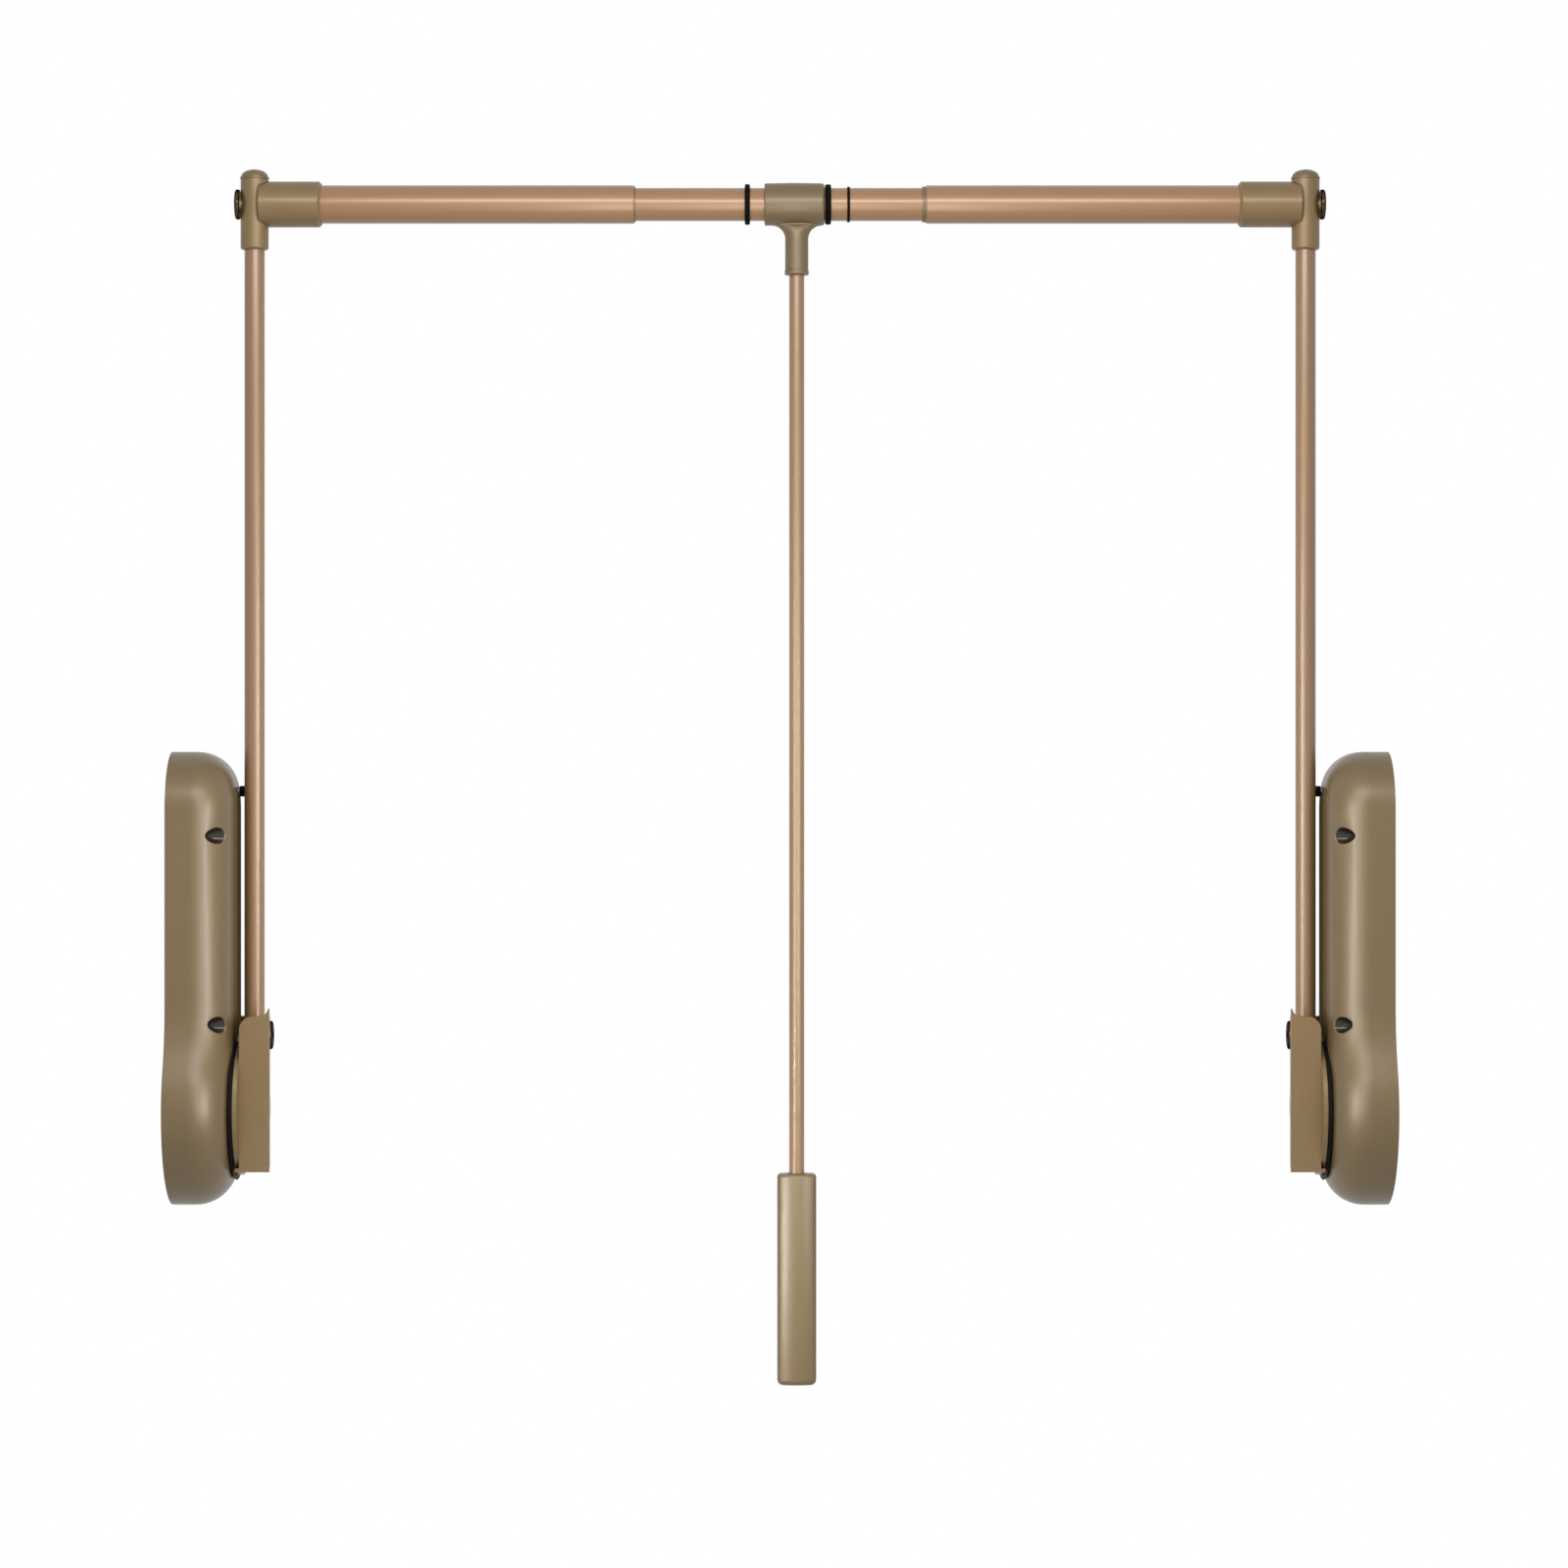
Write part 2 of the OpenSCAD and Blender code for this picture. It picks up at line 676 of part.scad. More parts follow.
// Gear outline with a tooth at angle 0
module gear_shape() {
    half_angle = 90 / gear_teeth - backlash / pitch_r * 90 / PI;
    root_r = pitch_r - dedendum;
    tip_r = pitch_r + addendum;
    radii = concat([root_r], [for (i = [0:5]) base_r + (tip_r - base_r) * i / 5]);
    tooth = concat(
        [for (i = [0:6]) let (f = flank(radii[i], half_angle)) [f[0], -f[1]]],
        [for (i = [6:-1:0]) flank(radii[i], half_angle)]
    );
    polygon([for (k = [0:gear_teeth - 1]) for (p = tooth) polar([p[0], p[1] + 360 * k / gear_teeth])]);
}

module pinion() {
    color(bare_steel) difference() {
        along_x(spring_u - gear_w / 2, spring_u + gear_w / 2) gear_shape();
        x_rod(axle_d, 0, housing_w);
    }
}

// One tooth of the rack, its centre at height z
module rack_tooth(z) {
    half = rack_pitch / 4 - backlash / 2;
    tip = half - addendum * tan(pressure_angle);
    root = half + dedendum * tan(pressure_angle);
    polygon([
        [pitch_r - addendum, z - tip], [pitch_r - addendum, z + tip],
        [rack_root_y + 1, z + root], [rack_root_y + 1, z - root]
    ]);
}

module rack() {
    color(bare_steel) {
        along_x(spring_u - rack_w / 2, spring_u + rack_w / 2) {
            translate([rack_root_y, rack_bottom]) square([rack_back, crosshead_top - rack_bottom]);
            for (k = [-teeth_below:teeth_above - 1]) rack_tooth((k + 0.5) * rack_pitch);
        }
        difference() {
            union() {
                z_rod(2 * spring_outer_r + 3, crosshead_z, crosshead_top, spring_u);
                block(
                    [spring_u - rack_w / 2, 0, crosshead_z],
                    [spring_u + rack_w / 2, rack_back_y, crosshead_top]
                );
            }
            z_rod(piston_rod_d, crosshead_z - 1, crosshead_top + 1, spring_u);
        }
    }
}

module damper_rod() {
    piston_d = damper_d - 2 * damper_wall - 2 * running;
    color(bare_steel) {
        z_rod(piston_rod_d, crosshead_z, piston_z, spring_u);
        z_rod(piston_d, piston_z, piston_z + piston_h, spring_u);
    }
}

// Front wall of the bracket: a round corner beside the housing and a small rise at its inner end
module bracket_front_shape() {
    left = bracket_u + flange_t;
    tip_start = face_end - tip_run;
    difference() {
        translate([left, -bracket_bottom]) square([face_end - left, bracket_bottom + bracket_top + tip_rise]);
        difference() {
            translate([left - 1, bracket_top - bracket_corner])
                square([bracket_corner + 1, bracket_corner + tip_rise + 1]);
            translate([left + bracket_corner, bracket_top - bracket_corner]) circle(r = bracket_corner);
        }
        translate([left + bracket_corner - 1, bracket_top])
            square([tip_start - left - bracket_corner + 1, tip_rise + 1]);
        translate([tip_start, bracket_top + tip_r]) circle(r = tip_r);
    }
}

module arm_bracket() {
    left = bracket_u + flange_t;
    color(bronze_plastic) difference() {
        union() {
            x_rod(flange_d, bracket_u, left);
            x_rod(hub_d, bracket_u, bracket_end);
            along_y(-bracket_front, bracket_t - bracket_front) bracket_front_shape();
            block([cheek_u, -bracket_front, -bracket_bottom], [bracket_end, bracket_back, cheek_top]);
            block(
                [bracket_u, -bracket_front, -bracket_bottom],
                [bracket_end, bracket_back, bracket_t - bracket_bottom]
            );
            intersection() {
                z_rod(arm_d + 2 * socket_wall, socket_bottom, socket_top, arm_u);
                block([bracket_u, -bracket_front, 0], [bracket_end, bracket_front, bracket_top]);
            }
            block(
                [arm_u - socket_wall / 2, -bracket_front + bracket_t / 2, hub_d / 2 - bracket_t],
                [arm_u + socket_wall / 2, -arm_d / 2 - socket_wall / 2, socket_top - bracket_t]
            );
        }
        x_rod(axle_d, bracket_u - 1, bracket_end + 1);
        z_rod(arm_d, arm_start, socket_top + 1, arm_u);
        x_rod(big_screw_d, bracket_u - 1, bracket_end + 1, 0, lower_big_z);
    }
}

// Low round screw head towards +X, from u0 up, with a hexagon socket
module big_head(d, t, u0) {
    edge = t / 2;
    translate([u0, 0, 0]) rotate([0, 90, 0]) difference() {
        rotate_extrude() {
            square([d / 2, t - edge]);
            square([d / 2 - edge, t]);
            translate([d / 2 - edge, t - edge]) intersection() {
                circle(r = edge);
                square(edge);
            }
        }
        translate([0, 0, t - edge]) cylinder(d = d / 4, h = t, $fn = 6);
    }
}

module arm_screw() {
    color(black_rubber) translate([0, 0, lower_big_z]) {
        x_rod(big_screw_d, bracket_u + 0.5, bracket_end);
        big_head(lower_head_d, lower_head_t, bracket_end);
    }
}

module arm_tube() {
    color(bronze_tube) difference() {
        z_rod(arm_d, arm_start, arm_end, arm_u);
        z_rod(arm_d - 2 * arm_wall, arm_start - 1, arm_end + 1, arm_u);
        x_rod(big_screw_d, bracket_u, bracket_end, 0, lower_big_z);
    }
}

module arm_head() {
    color(bronze_plastic) difference() {
        union() {
            z_rod(head_d, head_bottom + head_chamfer, head_top, arm_u);
            translate([arm_u, 0, head_bottom])
                cylinder(d1 = head_d - 2 * head_chamfer, d2 = head_d, h = head_chamfer);
            x_rod(seat_d, seat_u, arm_u, 0, rail_h);
        }
        z_rod(arm_d, head_bottom - 1, arm_end, arm_u);
        x_rod(big_screw_d, seat_u - 1, web_end, 0, rail_h);
    }
}

module head_cap() {
    dome_r = (pow(cap_d / 2, 2) + pow(dome_h, 2)) / (2 * dome_h);
    color(bronze_plastic) translate([arm_u, 0, head_top]) {
        cylinder(d = cap_d, h = brim_t);
        translate([0, 0, brim_t]) rotate_extrude() intersection() {
            translate([0, dome_h - dome_r]) circle(r = dome_r);
            square([cap_d / 2, dome_h]);
        }
    }
}

module corner_screw() {
    color(black_rubber) translate([0, 0, rail_h]) {
        x_rod(big_screw_d, seat_u, corner_screw_end);
        mirror([1, 0, 0]) big_head(upper_head_d, upper_head_t, -seat_u);
    }
}

module rail_sleeve() {
    color(bronze_plastic) difference() {
        union() {
            x_rod(rail_sleeve_d, saddle_u, rail_sleeve_end - rail_sleeve_chamfer, 0, rail_h);
            translate([rail_sleeve_end - rail_sleeve_chamfer, 0, rail_h]) rotate([0, 90, 0])
                cylinder(d1 = rail_sleeve_d, d2 = rail_sleeve_d - 2 * rail_sleeve_chamfer, h = rail_sleeve_chamfer);
        }
        z_rod(head_d, rail_h - rail_sleeve_d, rail_h + rail_sleeve_d, arm_u);
        x_rod(outer_d, web_end, rail_sleeve_end + 1, 0, rail_h);
        x_rod(big_screw_d, saddle_u - 1, web_end + 1, 0, rail_h);
    }
}

module outer_tube() color(bronze_tube) x_tube(outer_d, outer_bore, web_end, outer_end, rail_h);

module tube_bush(lip) {
    color(bronze_plastic) difference() {
        union() {
            x_rod(outer_bore, outer_end - mouth_bush_l, outer_end, 0, rail_h);
            x_rod(lip_d, outer_end, outer_end + lip, 0, rail_h);
        }
        x_rod(inner_d + 2 * running, outer_end - mouth_bush_l - 1, outer_end + lip + 1, 0, rail_h);
    }
}

module inner_tube() color(bronze_tube) x_tube(inner_d, inner_d - 2 * inner_wall, inner_start, inner_end, rail_h);

// Bush on one end of the inner tube, which runs in the outer tube
module end_bush(u0, u1, cap_u0) {
    bush_d = outer_bore - 2 * running;
    x_tube(bush_d, inner_d, u0, u1, rail_h);
    x_rod(bush_d, cap_u0, cap_u0 + end_cap_t, 0, rail_h);
}

module rail_end_bushes() {
    color(white_plastic) {
        end_bush(inner_start, inner_start + end_bush_l, inner_start - end_cap_t);
        end_bush(inner_end - end_bush_l, inner_end, inner_end);
    }
}

// Ring of round section on the inner tube
module rail_ring(d, u0, w) color(black_rubber) x_tube(d, inner_d, u0, u0 + w, rail_h);

module left_rail_ring() rail_ring(left_ring_d, left_ring_x, left_ring_w);

module tee_ring() rail_ring(tee_ring_d, tee_ring_x, tee_ring_w);

module right_rail_ring() rail_ring(right_ring_d, right_ring_x, right_ring_w);

module tee_liner() {
    color(white_plastic)
        x_tube(tee_bore - 2 * running, inner_d + 2 * running, tee_x + gap, tee_end - gap, rail_h);
}

// Web that runs hollow from the stem out to the tee's body
module stem_flare() {
    top = rail_h - tee_d / 2;
    translate([rod_x, 0, top]) intersection() {
        rotate_extrude() difference() {
            translate([0, -stem_blend]) square([stem_d / 2 + stem_blend, stem_blend + tee_d / 4]);
            translate([stem_d / 2 + stem_blend, -stem_blend]) circle(r = stem_blend);
        }
        block([-tee_l, -stem_web / 2, -tee_d], [tee_l, stem_web / 2, tee_d]);
    }
}

module tee() {
    color(bronze_plastic) difference() {
        union() {
            x_rod(tee_d, tee_x, tee_end, 0, rail_h);
            z_rod(stem_d, rail_h - stem_l, rail_h, rod_x);
            z_rod(stem_lip_d, rail_h - stem_l, rail_h - stem_l + stem_lip_h, rod_x);
            stem_flare();
        }
        x_rod(tee_bore, tee_x - 1, tee_end + 1, 0, rail_h);
        z_rod(rod_d, rail_h - stem_l - 1, rail_h - stem_l + rod_in_stem, rod_x);
    }
}

module pull_rod() {
    top = rail_h - stem_l + rod_in_stem;
    color(bronze_tube) difference() {
        z_rod(rod_d, rod_end, top, rod_x);
        z_rod(rod_d - 2 * rod_wall, rod_end - 1, top + 1, rod_x);
    }
}

// Rectangle of width w between heights low and high, its corners rounded
module soft_rectangle(w, low, high, low_r, high_r) {
    translate([-w / 2, low + low_r]) square([w, high - high_r - low - low_r]);
    translate([low_r - w / 2, low]) square([w - 2 * low_r, 2 * low_r]);
    translate([high_r - w / 2, high - 2 * high_r]) square([w - 2 * high_r, 2 * high_r]);
    for (side = [-1, 1]) {
        translate([side * (w / 2 - low_r), low + low_r]) circle(r = low_r);
        translate([side * (w / 2 - high_r), high - high_r]) circle(r = high_r);
    }
}

module handle_insert() {
    color(brass) difference() {
        z_rod(rod_d + 2 * insert_wall, rod_end, rod_end + insert_l, rod_x);
        z_rod(rod_d, rod_end - 1, rod_end + insert_l + 1, rod_x);
    }
}

module handle() {
    color(bronze_plastic) difference() {
        translate([rod_x, 0, 0]) intersection() {
            translate([0, 0, handle_bottom]) linear_extrude(handle_l)
                soft_rectangle(handle_w, -handle_depth / 2, handle_depth / 2, handle_edge, handle_edge);
            along_y(-handle_depth, handle_depth)
                soft_rectangle(handle_w, handle_bottom, handle_top, handle_bottom_r, handle_top_r);
            along_x(-handle_w, handle_w)
                soft_rectangle(handle_depth, handle_bottom, handle_top, handle_bottom_r, handle_top_r);
        }
        z_rod(rod_d, rod_end, handle_top + 1, rod_x);
        z_rod(rod_d + 2 * insert_wall, rod_end, rod_end + insert_l, rod_x);
    }
}

on_left() wall_plate();  // left_wall_plate
on_left() housing();  // left_housing
on_left() cover_screws();  // left_cover_screws
on_left() plate_bush();  // left_plate_bush
on_left() cover_bush();  // left_cover_bush
on_left() rack_guide();  // left_rack_guide
on_left() spring_anchor();  // left_spring_anchor
on_left() lift_spring();  // left_lift_spring
on_left() damper_cylinder();  // left_damper_cylinder
on_left() stop_peg();  // left_stop_peg
on_left() stop_sleeve();  // left_stop_sleeve
on_left() pivot_axle();  // left_pivot_axle
on_left() pinion();  // left_pinion
on_left() rack();  // left_rack
on_left() damper_rod();  // left_damper_rod
on_left() arm_bracket();  // left_arm_bracket
on_left() arm_screw();  // left_arm_screw
on_left() arm_tube();  // left_arm_tube
on_left() arm_head();  // left_arm_head
on_left() head_cap();  // left_head_cap
on_left() corner_screw();  // left_corner_screw
on_left() rail_sleeve();  // left_rail_sleeve
on_left() outer_tube();  // left_outer_tube
on_left() tube_bush(left_lip);  // left_tube_bush
on_right() wall_plate();  // right_wall_plate
on_right() housing();  // right_housing
on_right() cover_screws();  // right_cover_screws
on_right() plate_bush();  // right_plate_bush
on_right() cover_bush();  // right_cover_bush
on_right() rack_guide();  // right_rack_guide
on_right() spring_anchor();  // right_spring_anchor
on_right() lift_spring();  // right_lift_spring
on_right() damper_cylinder();  // right_damper_cylinder
on_right() stop_peg();  // right_stop_peg
on_right() stop_sleeve();  // right_stop_sleeve
on_right() pivot_axle();  // right_pivot_axle
on_right() pinion();  // right_pinion
on_right() rack();  // right_rack
on_right() damper_rod();  // right_damper_rod
on_right() arm_bracket();  // right_arm_bracket
on_right() arm_screw();  // right_arm_screw
on_right() arm_tube();  // right_arm_tube
on_right() arm_head();  // right_arm_head
on_right() head_cap();  // right_head_cap
on_right() corner_screw();  // right_corner_screw
on_right() rail_sleeve();  // right_rail_sleeve
on_right() outer_tube();  // right_outer_tube
on_right() tube_bush(right_lip);  // right_tube_bush
on_rail() inner_tube();
on_rail() rail_end_bushes();
on_rail() left_rail_ring();
on_rail() tee_ring();
on_rail() right_rail_ring();
on_rail() tee_liner();
on_rail() tee();
on_rail() pull_rod();
on_rail() handle();
on_rail() handle_insert();
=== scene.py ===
"""Pull-down wardrobe lift in bronze, dressed over its CAD frame.

Sizes in the classes are millimetres, in the CAD model's own frame: +X runs from the left wall to the right
wall, -Y is the front and +Z is up. Pieces that both sides share are modelled on the left and mirrored.
"""

import json
import logging
import math
from abc import ABC, abstractmethod
from collections.abc import Callable, Iterator
from contextlib import contextmanager
from dataclasses import dataclass, replace
from enum import Enum
from typing import Any

import bmesh
import bpy
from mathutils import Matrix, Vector


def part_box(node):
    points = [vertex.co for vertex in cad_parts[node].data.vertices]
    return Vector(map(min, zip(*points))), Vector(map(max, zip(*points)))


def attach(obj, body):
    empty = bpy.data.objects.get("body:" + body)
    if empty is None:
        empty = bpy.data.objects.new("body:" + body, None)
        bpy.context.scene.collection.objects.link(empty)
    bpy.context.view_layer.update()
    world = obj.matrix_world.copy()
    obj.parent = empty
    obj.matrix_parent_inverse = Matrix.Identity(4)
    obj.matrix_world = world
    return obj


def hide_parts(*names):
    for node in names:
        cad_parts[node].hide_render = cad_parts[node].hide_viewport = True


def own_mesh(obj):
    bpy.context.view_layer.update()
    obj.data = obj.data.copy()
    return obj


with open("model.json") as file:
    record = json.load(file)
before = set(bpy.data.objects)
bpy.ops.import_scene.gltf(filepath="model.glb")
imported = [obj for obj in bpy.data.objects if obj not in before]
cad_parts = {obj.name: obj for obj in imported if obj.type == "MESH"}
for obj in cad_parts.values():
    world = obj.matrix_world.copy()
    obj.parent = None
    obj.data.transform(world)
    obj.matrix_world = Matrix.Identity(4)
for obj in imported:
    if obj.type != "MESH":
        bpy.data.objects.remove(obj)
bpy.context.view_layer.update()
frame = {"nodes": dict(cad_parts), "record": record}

MM = 0.001
log = logging.getLogger("wardrobe_lift")

WELD = 1e-6  # Metres within which two vertices are one
NEAR = 0.01  # Millimetres within which two places count as the same
OVER = 1.0  # Millimetres that a cutting tool reaches past a piece
TUBE_END = 0.3  # Millimetres of rounding on a tube's deburred end
FLAT_TO = 0.5  # Degrees up to which a CAD copy's triangles count as one face
SMOOTH_TO = 32.0  # Degrees up to which an edge is shaded smooth
CAST_SMOOTH_TO = 50.0  # The same on castings and mouldings with broken edges
BREAK_FROM = 40.0  # Degrees from which an edge of these is broken
BROKEN_STEPS = 3  # Faces across a broken edge
TURNED_STEPS = 5  # Edges along the rounding of a turned corner
FACING_X = 0.999  # Part of X in a normal above which a face is parallel to the side walls

# A corner of a turned outline: radius, distance along the axis and rounding, all in millimetres
Corner = tuple[float, float, float]
# Short names for Blender's own types
Piece = bpy.types.Object
Nodes = bpy.types.NodeTree
Output = bpy.types.NodeSocket


class Axis(Enum):
    """Axis that a piece is turned about on the lathe."""

    X = (1.0, 0.0, 0.0)
    Z = (0.0, 0.0, 1.0)


class Pick(Enum):
    """Kind of mesh element to select, with the name of its list in bmesh."""

    VERT = "verts"
    EDGE = "edges"
    FACE = "faces"


class Join(Enum):
    """How one solid is combined with another."""

    ADD = "UNION"
    CUT = "DIFFERENCE"
    SHARE = "INTERSECT"


def mm(x: float, y: float, z: float) -> Vector:
    """Turns a point or step in millimetres into metres."""
    return Vector((x, y, z)) * MM


def box_mm(node: str) -> tuple[Vector, Vector]:
    """Gives the lowest and highest corner of a CAD node in millimetres."""
    low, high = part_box(node)
    return Vector(low) / MM, Vector(high) / MM


def joint(name: str) -> dict[str, Any]:
    """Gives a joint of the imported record."""
    return next(row for row in frame["record"]["behaviour"]["joints"] if row["name"] == name)


def only(*pieces: Piece) -> None:
    """Selects some pieces and nothing else, and makes the first one active.

    Args:
        *pieces: The pieces to select.
    """
    bpy.ops.object.select_all(action="DESELECT")
    for piece in pieces:
        piece.select_set(True)
    bpy.context.view_layer.objects.active = pieces[0]


def named(name: str) -> Piece:
    """Names the primitive that was just added and bakes its place into its mesh.

    Args:
        name: Name for the object and its mesh.

    Returns:
        The object, at the origin, unturned and unscaled.
    """
    piece = bpy.context.object
    piece.name = name
    piece.data.name = name
    only(piece)
    bpy.ops.object.transform_apply(location=True, rotation=True, scale=True)
    return piece


@contextmanager
def editing(piece: Piece) -> Iterator[None]:
    """Opens one piece in edit mode and goes back to object mode after it.

    Args:
        piece: The piece to edit.

    Yields:
        Nothing, while the piece is in edit mode.
    """
    only(piece)
    bpy.ops.object.mode_set(mode="EDIT")
    yield
    bpy.ops.object.mode_set(mode="OBJECT")


def pick(piece: Piece, kind: Pick, test: Callable[..., bool]) -> None:
    """Selects, in edit mode, the elements that pass a test.

    Args:
        piece: The piece that is being edited.
        kind: Vertices, edges or faces.
        test: Takes one element and says whether it is wanted.
    """
    bpy.ops.mesh.select_mode(type=kind.name)
    bpy.ops.mesh.select_all(action="DESELECT")
    mesh = bmesh.from_edit_mesh(piece.data)
    for element in filter(test, getattr(mesh, kind.value)):
        element.select_set(True)
    mesh.select_flush_mode()
    bmesh.update_edit_mesh(piece.data)


def merge_doubles() -> None:
    """Selects everything and merges vertices in the same place, in edit mode."""
    bpy.ops.mesh.select_all(action="SELECT")
    bpy.ops.mesh.remove_doubles(threshold=WELD)


def tidy_normals() -> None:
    """Merges doubles and points all faces outwards, in edit mode."""
    merge_doubles()
    bpy.ops.mesh.normals_make_consistent(inside=False)


def add_mirror_image(flip: tuple[int, int, int], centre: Vector) -> None:
    """Completes an outline with its own mirror image, in edit mode.

    Args:
        flip: -1 for each axis that is mirrored and 1 for the others.
        centre: Point that keeps its place, in metres.
    """
    bpy.ops.mesh.select_all(action="SELECT")
    bpy.ops.mesh.duplicate()
    bpy.ops.transform.resize(value=flip, center_override=centre)
    merge_doubles()


def smooth(piece: Piece, degrees: float = SMOOTH_TO) -> None:
    """Shades a piece smooth except across edges sharper than an angle."""
    only(piece)
    bpy.ops.object.shade_smooth_by_angle(angle=math.radians(degrees))


def crisp(piece: Piece) -> None:
    """Shades a casting smooth across its broken edges and even over its large faces.

    Args:
        piece: The casting or moulding.
    """
    smooth(piece, CAST_SMOOTH_TO)
    weights = piece.modifiers.new("even faces", "WEIGHTED_NORMAL")
    weights.keep_sharp = True
    bpy.ops.object.modifier_apply(modifier=weights.name)


def start_wire(name: str, start: Vector) -> Piece:
    """Adds a piece of a single vertex, from which an outline is drawn.

    Args:
        name: Name of the piece.
        start: Place of the vertex, in metres.

    Returns:
        The new piece, with its vertex selected.
    """
    bpy.ops.mesh.primitive_plane_add(size=MM, location=start)
    wire = named(name)
    with editing(wire):
        bpy.ops.mesh.select_mode(type="VERT")
        bpy.ops.mesh.select_all(action="SELECT")
        bpy.ops.mesh.merge(type="CENTER")
    return wire


def draw(step: Vector) -> None:
    """Extrudes what is selected by a step in metres, in edit mode."""
    bpy.ops.mesh.extrude_region_move(TRANSFORM_OT_translate={"value": step})


def sweep(centre: Vector, degrees: float, steps: int, axis: Vector) -> None:
    """Spins what is selected about an axis, right-handed, in edit mode.

    Args:
        centre: Point on the axis, in metres.
        degrees: Angle of the arc.
        steps: Number of edges along the arc.
        axis: Direction of the axis.
    """
    bpy.ops.mesh.spin(steps=steps, angle=-math.radians(degrees), center=centre, axis=axis)


def combine(piece: Piece, tool: Piece, how: Join) -> None:
    """Adds, cuts or intersects a piece with a tool solid, which is used up.

    Args:
        piece: The solid that is changed.
        tool: The other solid.
        how: The way of combining them.
    """
    only(piece)
    modifier = piece.modifiers.new("combine", "BOOLEAN")
    modifier.operation = how.value
    modifier.solver = "EXACT"
    modifier.object = tool
    bpy.ops.object.modifier_apply(modifier=modifier.name)
    bpy.data.objects.remove(tool, do_unlink=True)


def rod(name: str, axis: Axis, start: Vector, length: float, radius: float, sides: int = 64) -> Piece:
    """Adds a plain rod as a tool for cutting or adding.

    Args:
        name: Name of the rod.
        axis: Direction that it runs in.
        start: Centre of its first end, in metres.
        length: Length in millimetres.
        radius: Radius in millimetres.
        sides: Number of sides.

    Returns:
        The rod.
    """
    turned = (0.0, math.radians(90), 0.0) if axis is Axis.X else (0.0, 0.0, 0.0)
    bpy.ops.mesh.primitive_cylinder_add(
        vertices=sides, radius=radius * MM, depth=length * MM, rotation=turned,
        location=start + Vector(axis.value) * length * MM / 2,
    )
    return named(name)


def turn(
    name: str, outline: list[Corner], axis: Axis, centre: Vector, closed: bool = False, steps: int = 96
) -> Piece:
    """Turns a piece on the lathe from its outline.

    Args:
        name: Name of the piece.
        outline: Its corners in order, each with its rounding.
        axis: Axis of the lathe.
        centre: Point on that axis from which distances along it are measured, in metres.
        closed: Whether the last corner joins the first, as on a ring, instead of both lying on the axis.
        steps: Number of facets round the axis.

    Returns:
        The turned piece.
    """
    along = Vector(axis.value)
    out = Vector((0.0, 0.0, 1.0)) if axis is Axis.X else Vector((1.0, 0.0, 0.0))
    places = [centre + (out * radius + along * distance) * MM for radius, distance, _ in outline]
    piece = start_wire(name, places[0])
    with editing(piece):
        for here, there in zip(places, places[1:] + places[:1] if closed else places[1:]):
            draw(there - here)
        merge_doubles()
        for place, (_, _, rounding) in zip(places, outline):
            if rounding > 0:
                pick(piece, Pick.VERT, lambda vert: (vert.co - place).length < WELD)
                bpy.ops.mesh.bevel(offset=rounding * MM, segments=TURNED_STEPS, affect="VERTICES")
        bpy.ops.mesh.select_all(action="SELECT")
        sweep(centre, 360.0, steps, along)
        tidy_normals()
    smooth(piece)
    return piece


def turned_tube(name: str, node: str, axis: Axis, wall: float, rounding: float = TUBE_END) -> Piece:
    """Turns a tube or ring with soft edges in the place of a CAD one.

    Args:
        name: Name of the piece.
        node: The CAD node that gives its place, length and diameter.
        axis: Direction of the tube.
        wall: Wall thickness.
        rounding: Radius of the outer edges.

    Returns:
        The tube.
    """
    low, high = box_mm(node)
    middle = (low + high) / 2
    if axis is Axis.X:
        start, end, radius = low.x, high.x, (high.z - low.z) / 2
        centre = mm(0, middle.y, middle.z)
    else:
        start, end, radius = low.z, high.z, (high.x - low.x) / 2
        centre = mm(middle.x, middle.y, 0)
    inner = radius - wall
    outline = [(radius, start, rounding), (radius, end, rounding), (inner, end, 0.0), (inner, start, 0.0)]
    return turn(name, outline, axis, centre, closed=True)


def copy_of(name: str, node: str) -> Piece:
    """Copies a CAD node as a piece with its own merged mesh.

    Args:
        name: Name of the piece.
        node: The CAD node to copy.

    Returns:
        The copy, shaded smooth by angle.
    """
    piece = bpy.data.objects.new(name, frame["nodes"][node].data.copy())
    piece.data.name = name
    piece.data.materials.clear()
    bpy.context.scene.collection.objects.link(piece)
    with editing(piece):
        tidy_normals()
        bpy.ops.mesh.dissolve_limited(angle_limit=math.radians(FLAT_TO))
    smooth(piece)
    return piece


def softened(name: str, node: str, width: float) -> Piece:
    """Copies a cast or moulded CAD node and breaks its sharp edges.

    Args:
        name: Name of the piece.
        node: The CAD node to copy.
        width: Width of the broken edges in millimetres.

    Returns:
        The copy, with its own mesh.
    """
    piece = copy_of(name, node)
    bevel = piece.modifiers.new("broken edges", "BEVEL")
    bevel.width = width * MM
    bevel.segments = BROKEN_STEPS
    bevel.limit_method = "ANGLE"
    bevel.angle_limit = math.radians(BREAK_FROM)
    bpy.ops.object.modifier_apply(modifier=bevel.name)
    crisp(piece)
    return piece


def linear(colour: str) -> tuple[float, float, float, float]:
    """Turns an sRGB hex colour into linear values with full alpha.

    Args:
        colour: Colour such as "#6A5839".

    Returns:
        Red, green, blue and alpha.
    """
    shares = [int(colour[start:start + 2], 16) / 255 for start in (1, 3, 5)]
    red, green, blue = (s / 12.92 if s <= 0.04045 else ((s + 0.055) / 1.055) ** 2.4 for s in shares)
    return red, green, blue, 1.0


def empty_tree(owner: bpy.types.Material | bpy.types.World) -> Nodes:
    """Empties the node tree of a new material or world.

    Args:
        owner: The material or world.

    Returns:
        Its node tree.
    """
    owner.use_nodes = True
    owner.node_tree.nodes.clear()
    return owner.node_tree


